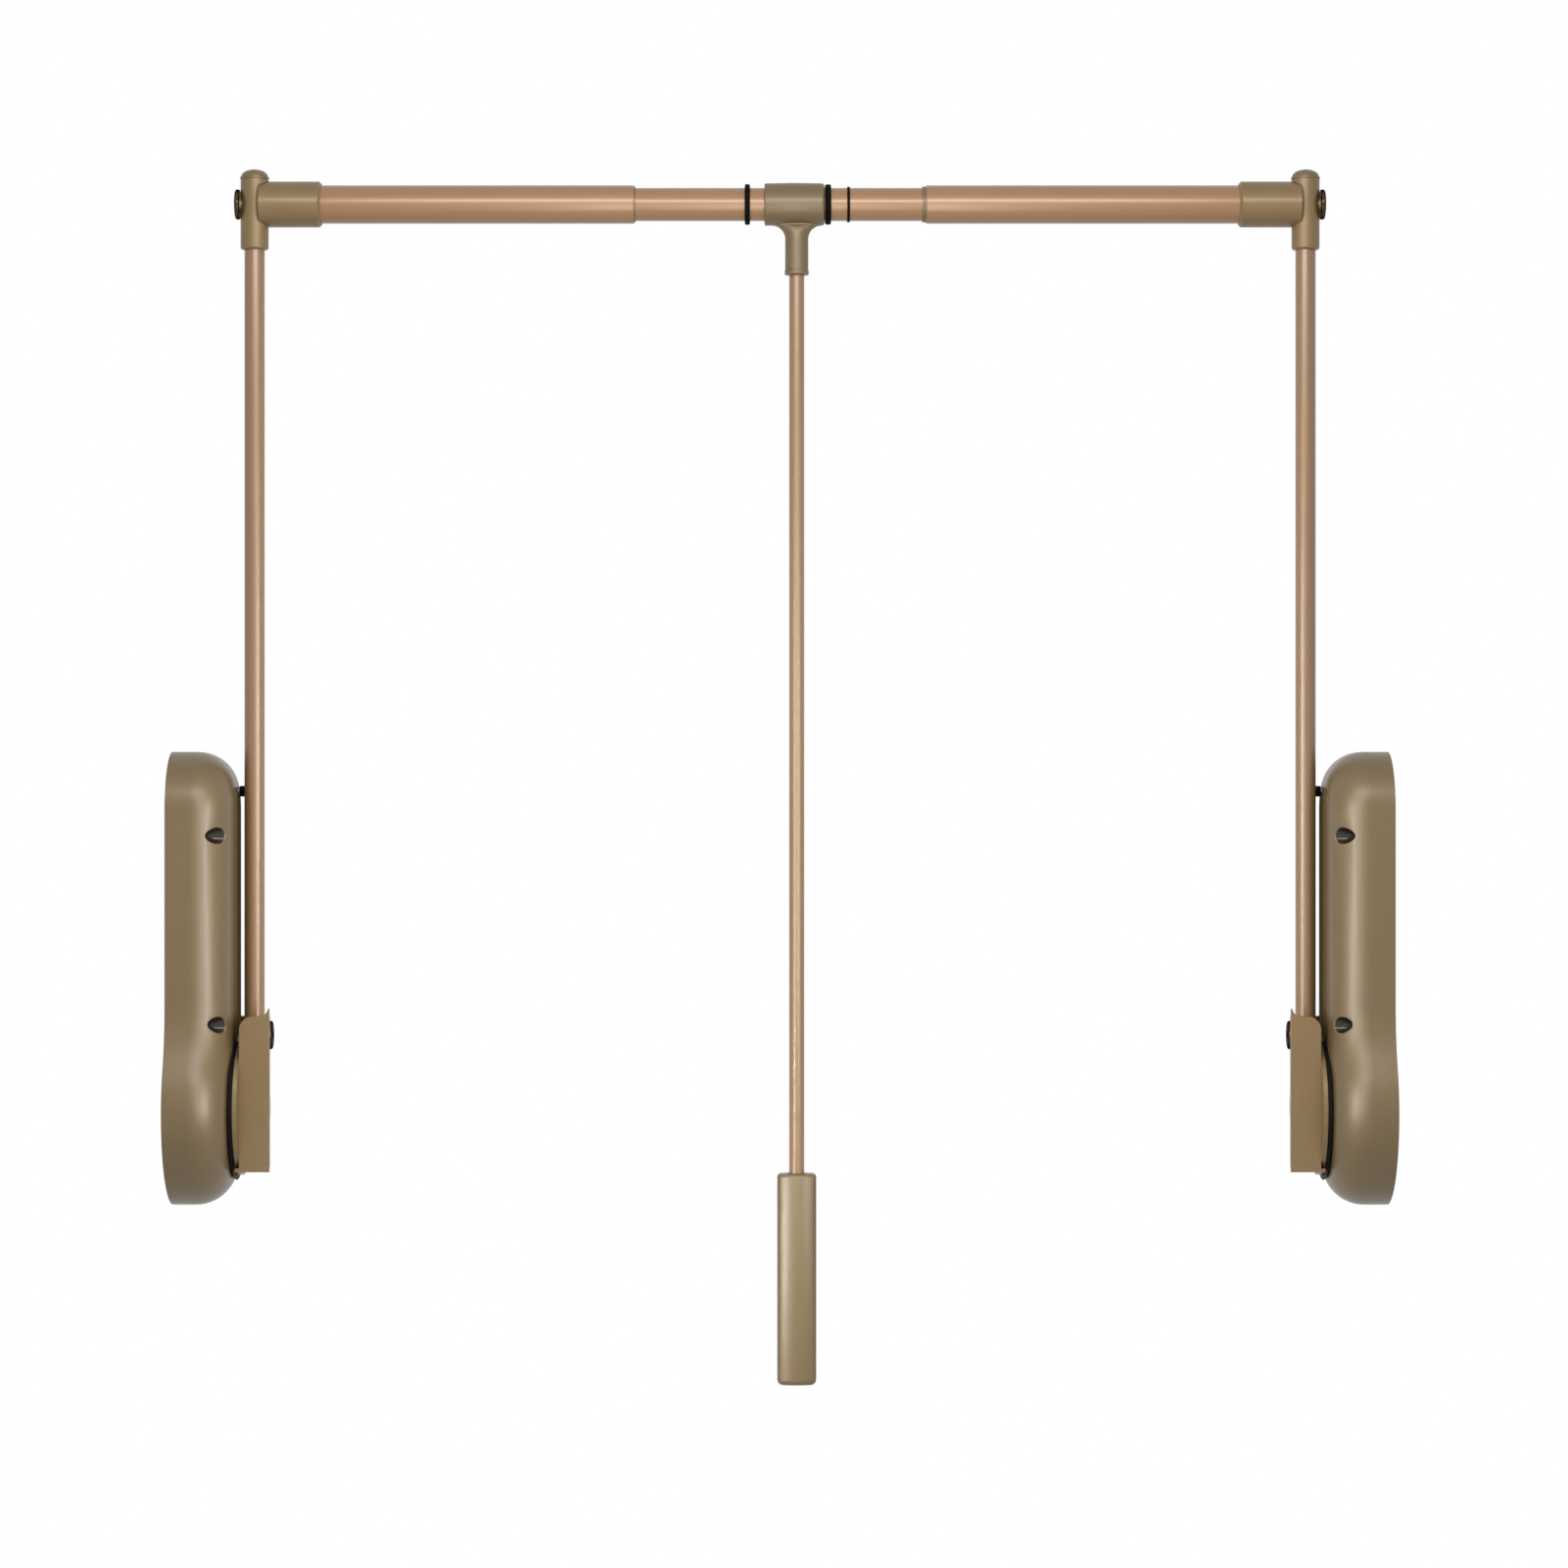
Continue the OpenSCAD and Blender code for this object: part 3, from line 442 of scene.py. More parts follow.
def add_node(
    tree: Nodes, kind: str, inputs: dict[str | int, object] | None = None, **settings: object
) -> bpy.types.Node:
    """Adds a node with its settings, values and links.

    Args:
        tree: The node tree.
        kind: Blender's name of the node type.
        inputs: For each input, by name or number, a value or the output that it is linked to.
        **settings: Properties of the node.

    Returns:
        The new node.
    """
    made = tree.nodes.new(kind)
    for key, value in settings.items():
        setattr(made, key, value)
    for socket, value in (inputs or {}).items():
        if isinstance(value, Output):
            tree.links.new(value, made.inputs[socket])
        else:
            made.inputs[socket].default_value = value
    return made


@dataclass(frozen=True)
class Finish(ABC):
    """Look of one material: two tones mixed by a pattern, which also drives roughness and relief.

    Relief and grain are in millimetres. The edge colour tints what is mirrored at a grazing angle.
    """

    name: str
    dark: str
    light: str
    smoothest: float
    roughest: float
    relief: float
    metallic: float = 0.0
    specular: float = 0.5
    edge: str = "#FFFFFF"
    coat: float = 0.0
    coat_rough: float = 0.2
    grain: float = 1.0

    @abstractmethod
    def pattern(self, tree: Nodes, place: Output) -> Output:
        """Draws the pattern of the surface.

        Args:
            tree: The node tree.
            place: Object coordinates in metres.

        Returns:
            Values from 0 to 1.
        """

    def material(self) -> bpy.types.Material:
        """Makes the Blender material at its first use.

        Returns:
            The material.
        """
        made = bpy.data.materials.get(self.name)
        if made is None:
            made = bpy.data.materials.new(self.name)
            self.wire(empty_tree(made))
        return made

    def wire(self, tree: Nodes) -> None:
        """Wires pattern, tones, roughness and relief to the shader.

        Args:
            tree: The material's empty node tree.
        """
        place = add_node(tree, "ShaderNodeTexCoord").outputs["Object"]
        pattern = self.pattern(tree, place)
        tones = add_node(tree, "ShaderNodeValToRGB", {"Fac": pattern})
        tones.color_ramp.elements[0].color = linear(self.dark)
        tones.color_ramp.elements[1].color = linear(self.light)
        gloss = add_node(tree, "ShaderNodeMapRange", {
            "Value": pattern, "To Min": self.smoothest, "To Max": self.roughest,
        })
        bump = add_node(tree, "ShaderNodeBump", {"Height": pattern, "Distance": self.relief * MM})
        shader = add_node(tree, "ShaderNodeBsdfPrincipled", {
            "Base Color": tones.outputs["Color"], "Roughness": gloss.outputs["Result"],
            "Normal": bump.outputs["Normal"], "Metallic": self.metallic,
            "Specular IOR Level": self.specular, "Specular Tint": linear(self.edge),
            "Coat Weight": self.coat, "Coat Roughness": self.coat_rough,
        })
        add_node(tree, "ShaderNodeOutputMaterial", {"Surface": shader.outputs["BSDF"]})

    def put_on(self, piece: Piece) -> None:
        """Gives the finish to every material slot of a piece.

        Args:
            piece: The piece to dress.
        """
        if not piece.material_slots:
            piece.data.materials.append(self.material())
        for held in piece.material_slots:
            held.material = self.material()


@dataclass(frozen=True)
class MouldedFinish(Finish):
    """Moulded plastic or rubber: cloudy pigment with the fine erosion grain of the mould on it."""

    cloud: float = 14.0

    def pattern(self, tree: Nodes, place: Output) -> Output:
        """Adds the grain, at its own size, to clouds of a centimetre or so.

        Args:
            tree: The node tree.
            place: Object coordinates in metres.

        Returns:
            Values from 0 to 1.
        """
        clouds, grain = (
            add_node(tree, "ShaderNodeTexNoise", {"Vector": place, "Scale": 1 / (size * MM), "Detail": detail})
            for size, detail in ((self.cloud, 2.0), (self.grain, 3.0))
        )
        mixed = add_node(tree, "ShaderNodeMath", {
            0: clouds.outputs["Fac"], 1: grain.outputs["Fac"],
        }, operation="ADD")
        return add_node(tree, "ShaderNodeMapRange", {
            "Value": mixed.outputs["Value"], "From Min": 0.7, "From Max": 1.3,
        }).outputs["Result"]


@dataclass(frozen=True)
class DrawnFinish(Finish):
    """Drawn or turned metal: fine lines along the piece, which show through its lacquer."""

    axis: Axis = Axis.X
    streak: float = 45.0

    def pattern(self, tree: Nodes, place: Output) -> Output:
        """Stretches a fine noise along the axis of drawing.

        Args:
            tree: The node tree.
            place: Object coordinates in metres.

        Returns:
            Values from 0 to 1.
        """
        along = Vector(self.axis.value)
        across = Vector((1.0, 1.0, 1.0)) - along
        scale = along / (self.streak * MM) + across / (self.grain * MM)
        lines = add_node(tree, "ShaderNodeMapping", {"Vector": place, "Scale": scale})
        noise = add_node(tree, "ShaderNodeTexNoise", {
            "Vector": lines.outputs["Vector"], "Scale": 1.0, "Detail": 4.0,
        })
        return add_node(tree, "ShaderNodeMapRange", {
            "Value": noise.outputs["Fac"], "From Min": 0.3, "From Max": 0.7,
        }).outputs["Result"]


@dataclass(frozen=True)
class SpangledFinish(Finish):
    """Zinc-plated steel: small crystals, each a little lighter or darker than the next."""

    def pattern(self, tree: Nodes, place: Output) -> Output:
        """Gives each crystal cell its own value."""
        cells = add_node(tree, "ShaderNodeTexVoronoi", {"Vector": place, "Scale": 1 / (self.grain * MM)})
        return add_node(tree, "ShaderNodeSeparateColor", {"Color": cells.outputs["Color"]}).outputs["Red"]


# Moulded ABS with bronze flakes in its pigment: satin, with soft highlights and darker edges
BRONZE_ABS = MouldedFinish(
    "bronze flake ABS moulded", "#6A5839", "#6E5C3D", 0.56, 0.62, 0.004, metallic=0.5, specular=0.2,
    edge="#303030", coat=1.0, coat_rough=0.37, grain=1.6,
)
# The same ABS with the coarse erosion of the mould left on it: dull from any side, and a little darker as
# painted shade on the flat inner faces, which turn away from the light
MATT_SHADED_ABS = MouldedFinish(
    "bronze ABS moulded matt", "#64543A", "#6A593D", 0.9, 0.95, 0.01, specular=0.0, grain=1.6,
)
# The same ABS inside the deep screw pockets, in dark tones that paint the shade where hardly any light falls,
# with a moulded gloss
POCKET_SHADE_ABS = MouldedFinish(
    "bronze ABS in the screw pockets", "#1E1811", "#2C241A", 0.5, 0.56, 0.003, specular=0.1, coat=0.75,
    coat_rough=0.12, grain=1.6,
)
# Zinc casting with bronze flake paint: the same tone, a little sharper in its highlights
BRONZE_PAINT = MouldedFinish(
    "bronze flake paint on zinc casting", "#7A6441", "#7E6845", 0.52, 0.58, 0.004, metallic=0.5, specular=0.2,
    edge="#303030", coat=0.8, coat_rough=0.3, grain=1.4,
)
# Steel tube with copper-bronze lacquer: glossier and redder, with faint drawn lines along the tube
BRONZE_TUBE_X = DrawnFinish(
    "bronze lacquer on drawn rail tube", "#936F4D", "#977351", 0.46, 0.48, 0.0003, metallic=0.3, specular=0.2,
    edge="#202020", coat=1.0, coat_rough=0.28, grain=0.9, streak=120.0,
)
# The same lacquer on the upright tubes, with its lines along Z and a darker tone: painted shade on these
# tubes, which catch more of the lamps' light
BRONZE_TUBE_Z_SHADED = replace(
    BRONZE_TUBE_X, name="bronze lacquer on drawn arm tube", dark="#866A4C", light="#8A6E50", axis=Axis.Z
)
# Black polyamide of the disc between housing and bracket: dull sheen
BLACK_PLASTIC = MouldedFinish(
    "black polyamide moulded", "#080808", "#0D0C0C", 0.5, 0.6, 0.01, specular=0.1, grain=1.2
)
# Vulcanised rubber of the rings and the stop: matte and deep black
BLACK_RUBBER = MouldedFinish(
    "black rubber vulcanised", "#060606", "#0A0A09", 0.6, 0.72, 0.01, specular=0.05, grain=0.9
)
# Natural acetal of the hidden bearings: waxy white
WHITE_ACETAL = MouldedFinish("white acetal turned", "#DEDBD2", "#E8E5DD", 0.38, 0.46, 0.008)
# Zinc-plated sheet: pale grey with small crystals
ZINC_STEEL = SpangledFinish(
    "steel sheet zinc plated", "#A3A7AA", "#B4B8BA", 0.3, 0.42, 0.004, metallic=1.0, grain=3.5
)
# Oiled steel of gear, rack and spring: darker, with drawn lines
SPRING_STEEL = DrawnFinish(
    "spring steel oiled", "#6F7072", "#828385", 0.24, 0.34, 0.006, metallic=1.0, grain=0.8, axis=Axis.Z
)
# Burnished steel of the large screw heads: almost black, with a bright line where it faces the light
DARK_STEEL = DrawnFinish(
    "screw steel burnished", "#43372A", "#4E4132", 0.2, 0.26, 0.002, metallic=1.0, edge="#404040", grain=0.8,
    streak=6.0,
)
# Turned brass of the insert in the handle
BRASS = DrawnFinish(
    "brass turned", "#B5904E", "#C29D5B", 0.2, 0.3, 0.004, metallic=1.0, grain=0.7, axis=Axis.Z
)

FINISHES: dict[str, Finish] = {
    "bronze_plastic": BRONZE_ABS,
    "bronze_paint": BRONZE_PAINT,
    "bronze_tube": BRONZE_TUBE_X,
    "black_plastic": BLACK_PLASTIC,
    "black_rubber": BLACK_RUBBER,
    "white_plastic": WHITE_ACETAL,
    "zinc_steel": ZINC_STEEL,
    "spring_steel": SPRING_STEEL,
    "dark_steel": DARK_STEEL,
    "brass": BRASS,
}


@dataclass(frozen=True)
class Layout:
    """Places that the sub-assemblies share, read from the CAD frame, and how pieces are fitted there."""

    wardrobe_w: float
    pivot_z: float
    rail_z: float
    pitch_y: float
    pitch_z: float

    @classmethod
    def from_frame(cls) -> "Layout":
        """Reads the right wall's face, pivot, rail and wall screws from the CAD frame.

        Returns:
            The layout.
        """
        mounts = frame["record"]["mounts"]
        screws = next(mount["dims"] for mount in mounts if mount["name"] == "left_wall_screws")
        return cls(
            wardrobe_w=box_mm("right_wall_plate")[1].x,
            pivot_z=joint("lift")["pos_m"][2] / MM,
            rail_z=joint("rod_swing")["pos_m"][2] / MM,
            pitch_y=screws["spacing_x_mm"],
            pitch_z=screws["spacing_y_mm"],
        )

    def fit(self, piece: Piece, node: str, finish: Finish | None = None) -> None:
        """Puts a piece in the place of a CAD node, on its body, in its slot and with its finish.

        Args:
            piece: The finished piece.
            node: The CAD node that it stands for.
            finish: Its finish, or None for the one of the node's slot.
        """
        bodies = frame["record"]["behaviour"]["bodies"]
        body = next(name for name, nodes in bodies.items() if node in nodes)
        slot = next(part["material_slot"] for part in frame["record"]["subparts"] if part["node"] == node)
        (finish or FINISHES[slot]).put_on(piece)
        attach(piece, body)
        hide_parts(node)
        log.info("%s: %d faces, in place of %s", piece.name, len(piece.data.polygons), node)

    def fit_both(self, piece: Piece, node: str, finish: Finish | None = None) -> None:
        """Fits a left piece, and its mirror image on the right.

        Args:
            piece: The left piece, whose name starts with left.
            node: Name of the CAD node without its side.
            finish: Its finish, or None for the one of the node's slot.
        """
        only(piece)
        bpy.ops.object.duplicate(linked=False)
        other = named(piece.name.replace("left", "right", 1))
        with editing(other):
            bpy.ops.mesh.select_all(action="SELECT")
            bpy.ops.transform.resize(value=(-1, 1, 1), center_override=mm(self.wardrobe_w / 2, 0, 0))
            tidy_normals()
        if other.data.has_custom_normals:
            bpy.ops.mesh.customdata_custom_splitnormals_clear()
            crisp(other)
        self.fit(piece, f"left_{node}", finish)
        self.fit(other, f"right_{node}", finish)


@dataclass(frozen=True)
class WallUnits:
    """The two housings with their screw pockets, and the rubber stops behind the arms."""

    layout: Layout
    # Outline of the housing and rounding of its face
    depth: float = 97.0
    corner_r: float = 40.0
    corner_steps: int = 14
    blend_r: float = 90.0
    blend_steps: int = 8
    lobe_steps: int = 30
    edge_r: float = 27.0
    edge_steps: int = 16
    # Cover, and the steel plate behind it
    wall: float = 2.8
    plate: float = 2.0
    smooth_to: float = 40.0
    # Screw pockets, and what tells the edges of their rims from others (the angle in radians)
    pocket_r: float = 5.5
    pocket_wall: float = 1.8
    pocket_floor: float = 2.5
    hole_r: float = 2.5
    rim_r: float = 0.6
    rim_steps: int = 3
    rim_near: float = 0.02
    rim_above: float = 2.0
    rim_angle: float = 0.3
    # Hub, disc and its lip
    hub_r: float = 10.05
    bush_wall: float = 2.0
    disc_edge: float = 0.3
    disc_steps: int = 128
    lip: float = 0.7
    lip_w: float = 3.2
    lip_edge: float = 0.2
    # Springs and rubber stops
    spring_play: float = 0.1
    stop_wall: float = 1.2
    stop_edge: float = 0.9

    @property
    def face(self) -> float:
        """Distance of the cover's face from the wall."""
        return box_mm("left_housing")[1].x

    @property
    def floor(self) -> float:
        """Distance of the pockets' floor from the wall."""
        return self.plate + self.pocket_floor

    def body(self, name: str, inset: float, start: float) -> Piece:
        """Draws the housing's outline, extrudes it from the wall and rounds the rim of its face.

        Args:
            name: Name of the solid.
            inset: How far the solid lies inside the housing's surface.
            start: Distance of its back from the wall.

        Returns:
            The closed solid.
        """
        low, high = box_mm("left_housing")
        pivot = self.layout.pivot_z
        lobe_r = (high.y - low.y) / 2
        top = high.z - pivot
        corner_y = self.depth / 2 - self.corner_r
        corner_z = top - self.corner_r
        blend_y = self.depth / 2 + self.blend_r
        blend_z = math.sqrt((lobe_r + self.blend_r) ** 2 - blend_y ** 2)
        blend_angle = math.degrees(math.atan2(blend_z, blend_y))
        across = Vector(Axis.X.value)
        piece = start_wire(name, mm(start, 0, high.z - inset))
        with editing(piece):
            draw(mm(0, -corner_y, 0))
            sweep(mm(0, -corner_y, pivot + corner_z), 90.0, self.corner_steps, across)
            draw(mm(0, 0, blend_z - corner_z))
            sweep(mm(0, -blend_y, pivot + blend_z), -blend_angle, self.blend_steps, across)
            sweep(mm(0, 0, pivot), 90.0 + blend_angle, self.lobe_steps, across)
            add_mirror_image((1, -1, 1), mm(0, 0, 0))
            bpy.ops.mesh.edge_face_add()
            draw(mm(high.x - inset - start, 0, 0))
            tidy_normals()
            face_x = (high.x - inset - NEAR) * MM
            pick(piece, Pick.EDGE, lambda edge: all(vert.co.x > face_x for vert in edge.verts))
            width = (self.edge_r - inset) * MM
            bpy.ops.mesh.bevel(offset=width, segments=self.edge_steps, affect="EDGES")
        return piece

    def pocket_places(self) -> list[Vector]:
        """Places the four screw pockets.

        Returns:
            Their centres on the face of the wall, in metres.
        """
        return [
            mm(0, y, z)
            for y in (-self.layout.pitch_y / 2, self.layout.pitch_y / 2)
            for z in (-self.layout.pitch_z / 2, self.layout.pitch_z / 2)
        ]

    def housing(self) -> Piece:
        """Models the cover: a shell open to the wall, with four screw pockets and a hole for the hub.

        Returns:
            The left cover.
        """
        shell = self.body("left_housing_cover", 0.0, 0.0)
        face = self.face
        with editing(shell):
            pick(shell, Pick.FACE, lambda patch: patch.normal.x < -FACING_X)
            bpy.ops.mesh.delete(type="FACE")
        walls = shell.modifiers.new("wall", "SOLIDIFY")
        walls.thickness = self.wall * MM
        walls.offset = -1.0
        walls.use_even_offset = True
        bpy.ops.object.modifier_apply(modifier=walls.name)
        core = self.body("core", self.wall / 2, self.plate)
        posts = [
            rod("post", Axis.X, place + mm(self.plate, 0, 0), face, self.pocket_r + self.pocket_wall)
            for place in self.pocket_places()
        ]
        only(*posts)
        bpy.ops.object.join()
        combine(core, posts[0], Join.SHARE)
        combine(shell, core, Join.ADD)
        for place in self.pocket_places():
            combine(shell, rod("pocket", Axis.X, place + mm(self.floor, 0, 0), face, self.pocket_r), Join.CUT)
            combine(shell, rod("hole", Axis.X, place, face, self.hole_r), Join.CUT)
        combine(shell, rod("hub", Axis.X, mm(face / 2, 0, self.layout.pivot_z), face, self.hub_r), Join.CUT)
        with editing(shell):
            pick(shell, Pick.EDGE, self.is_pocket_rim)
            bpy.ops.mesh.remove_doubles(threshold=self.rim_r / 2 * MM)
            bpy.ops.mesh.bevel(offset=self.rim_r * MM, segments=self.rim_steps, affect="EDGES")
            tidy_normals()
            bpy.ops.mesh.quads_convert_to_tris(quad_method="BEAUTY", ngon_method="BEAUTY")
        smooth(shell, self.smooth_to)
        return shell

    def is_pocket_rim(self, edge: bmesh.types.BMEdge) -> bool:
        """Tells the edges of the pockets' outer rims from others.

        Args:
            edge: An edge of the cover.

        Returns:
            Whether it lies on such a rim.
        """
        lowest = (self.floor + self.rim_above) * MM
        ends = [vert.co for vert in edge.verts]
        if edge.calc_face_angle(0.0) <= self.rim_angle or min(end.x for end in ends) <= lowest:
            return False
        return any(
            all(abs((end - place).yz.length - self.pocket_r * MM) < self.rim_near * MM for end in ends)
            for place in self.pocket_places()
        )

    def disc(self) -> Piece:
        """Turns the bush of the hub with the disc under the bracket, which thins to a lip at its rim.

        Returns:
            The left disc.
        """
        low, high = box_mm("left_cover_bush")
        face = self.face
        radius = (high.z - low.z) / 2
        bore_r = self.hub_r - self.bush_wall
        return turn("left_glide_disc", [
            (bore_r, low.x, 0.0), (self.hub_r, low.x, 0.0), (self.hub_r, face, 0.0), (radius, face, 0.0),
            (radius, face + self.lip, self.lip_edge), (radius - self.lip_w, face + self.lip, 0.0),
            (radius - self.lip_w, high.x, self.disc_edge), (bore_r, high.x, 0.0),
        ], Axis.X, mm(0, 0, self.layout.pivot_z), closed=True, steps=self.disc_steps)

    def dress_faces(self, cover: Piece, finish: Finish, test: Callable[..., bool]) -> None:
        """Gives some faces of a cover a finish of their own.

        Args:
            cover: The cover.
            finish: The finish of these faces.
            test: Takes a face and says whether it is one of them.
        """
        cover.data.materials.append(finish.material())
        with editing(cover):
            pick(cover, Pick.FACE, test)
            cover.active_material_index = len(cover.data.materials) - 1
            bpy.ops.object.material_slot_assign()

    def from_wall(self, patch: bmesh.types.BMFace) -> float:
        """Gives a face's distance from the nearer side wall, in millimetres."""
        middle = self.layout.wardrobe_w / 2
        return middle - abs(patch.calc_center_median().x / MM - middle)

    def springs(self) -> None:
        """Copies the two lift springs, which the racks press together as the arms come down."""
        travel = max(joint("left_rack_slide")["range_m"]) / MM + self.spring_play
        for side, hinge in (("left", "lift"), ("right", "right_lift")):
            node = f"{side}_lift_spring"
            piece = copy_of(f"{side}_coil_spring", node)
            self.layout.fit(piece, node)
            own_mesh(piece)

    def build(self) -> None:
        """Builds and fits the covers, discs, springs and the rubber sleeves of the stops."""
        self.layout.fit_both(self.housing(), "housing")
        face = self.face
        pockets = self.pocket_places()
        bore = (self.pocket_r + NEAR) * MM
        for side in ("left", "right"):
            cover = bpy.data.objects[f"{side}_housing_cover"]
            # The flat inner faces get the matt copy, whose darker tone is painted shade
            self.dress_faces(cover, MATT_SHADED_ABS, lambda patch: (
                abs(patch.normal.x) > FACING_X and abs(self.from_wall(patch) - face) < NEAR
            ))
            # The pocket walls get the dark copy of the ABS: painted shade inside the pockets
            self.dress_faces(cover, POCKET_SHADE_ABS, lambda patch: (
                self.from_wall(patch) > self.floor - NEAR
                and any((patch.calc_center_median() - pocket).yz.length < bore for pocket in pockets)
            ))
        self.layout.fit_both(self.disc(), "cover_bush")
        self.springs()
        sleeve = turned_tube("left_stop_rubber", "left_stop_sleeve", Axis.X, self.stop_wall, self.stop_edge)
        self.layout.fit_both(sleeve, "stop_sleeve")


@dataclass(frozen=True)
class Arms:
    """The two arms: bracket, tube, corner fitting with its cap, large screws and the rail's outer tube."""

    layout: Layout
    bracket_edge: float = 0.7
    fitting_edge: float = 0.6
    tube_wall: float = 1.5
    outer_wall: float = 1.3
    # Large screws (head_round is a share of the head's thickness)
    lower_head: float = 3.1
    upper_head: float = 2.9
    head_round: float = 0.45
    screw_edge: float = 0.4
    shank_r: float = 3.0
    sunk: float = 1.2
    socket_r: float = 3.4
    socket_depth: float = 2.2
    # Cap (dome_step in degrees)
    brim: float = 2.0
    brim_edge: float = 0.5
    dome_edge: float = 0.7
    dome_inset: float = 0.7
    dome_step: int = 9

    def screw(self, name: str, node: str, head: float, outwards: float) -> Piece:
        """Turns a large round-head screw and sinks a hexagon socket in it.

        Args:
            name: Name of the piece.
            node: The CAD screw that gives its place and size.
            head: Thickness of the head.
            outwards: 1 if the head points to +X and -1 if it points to -X.

        Returns:
            The screw.
        """
        low, high = box_mm(node)
        middle = (low + high) / 2
        radius = (high.z - low.z) / 2
        top = high.x if outwards > 0 else low.x + self.sunk
        tip = low.x if outwards > 0 else high.x
        seat = top - outwards * head
        outline = [
            (0.0, tip, 0.0), (self.shank_r, tip, self.screw_edge), (self.shank_r, seat, 0.0),
            (radius, seat, self.screw_edge), (radius, top, head * self.head_round), (0.0, top, 0.0),
        ]
        piece = turn(name, outline, Axis.X, mm(0, middle.y, middle.z))
        start = top - self.socket_depth if outwards > 0 else top - OVER
        socket = rod(
            "socket", Axis.X, mm(start, middle.y, middle.z), self.socket_depth + OVER, self.socket_r, sides=6
        )
        combine(piece, socket, Join.CUT)
        smooth(piece)
        return piece

    def cap(self) -> Piece:
        """Turns the cap: a thin brim and a dome on the upright head.

        Returns:
            The left cap.
        """
        low, high = box_mm("left_head_cap")
        middle = (low + high) / 2
        brim_r = (high.x - low.x) / 2
        dome_r = brim_r - self.dome_inset
        dome_z = low.z + self.brim
        rise = high.z - dome_z
        turns = [math.radians(angle) for angle in range(0, 90, self.dome_step)]
        outline = [
            (0.0, low.z, 0.0), (brim_r, low.z, self.brim_edge), (brim_r, dome_z, self.dome_edge),
            *[(dome_r * math.cos(a), dome_z + rise * math.sin(a), 0.0) for a in turns], (0.0, high.z, 0.0),
        ]
        return turn("left_corner_cap", outline, Axis.Z, mm(middle.x, middle.y, 0))

    def build(self) -> None:
        """Builds and fits all pieces of both arms."""
        fit_both = self.layout.fit_both
        fit_both(softened("left_cast_bracket", "left_arm_bracket", self.bracket_edge), "arm_bracket")
        fit_both(self.screw("left_lower_screw", "left_arm_screw", self.lower_head, 1.0), "arm_screw")
        post = turned_tube("left_arm_post", "left_arm_tube", Axis.Z, self.tube_wall)
        # The arm tubes take the darker lacquer copy: painted shade
        fit_both(post, "arm_tube", BRONZE_TUBE_Z_SHADED)
        fit_both(softened("left_corner_fitting", "left_arm_head", self.fitting_edge), "arm_head")
        fit_both(self.cap(), "head_cap")
        fit_both(self.screw("left_upper_screw", "left_corner_screw", self.upper_head, -1.0), "corner_screw")
        fit_both(softened("left_rail_socket", "left_rail_sleeve", self.fitting_edge), "rail_sleeve")
        fit_both(turned_tube("left_rail_outer", "left_outer_tube", Axis.X, self.outer_wall), "outer_tube")


@dataclass(frozen=True)
class Rail:
    """The inner tube of the telescopic rail and the rubber rings on it."""

    layout: Layout
    tube_wall: float = 1.5
    ring_edge: float = 1.1
    ring_edge_share: float = 0.45

    def build(self) -> None:
        """Builds and fits the tube and its three rings, rounded as far as each ring's section lets them be."""
        tube = turned_tube("rail_inner", "inner_tube", Axis.X, self.tube_wall)
        self.layout.fit(tube, "inner_tube")
        tube_low, tube_high = box_mm("inner_tube")
        tube_r = (tube_high.z - tube_low.z) / 2
        for node in ("left_rail_ring", "tee_ring", "right_rail_ring"):
            low, high = box_mm(node)
            wall = (high.z - low.z) / 2 - tube_r
            section = min(wall, high.x - low.x)
            rounding = min(self.ring_edge, section * self.ring_edge_share)
            self.layout.fit(turned_tube(f"{node}_rubber", node, Axis.X, wall, rounding), node)


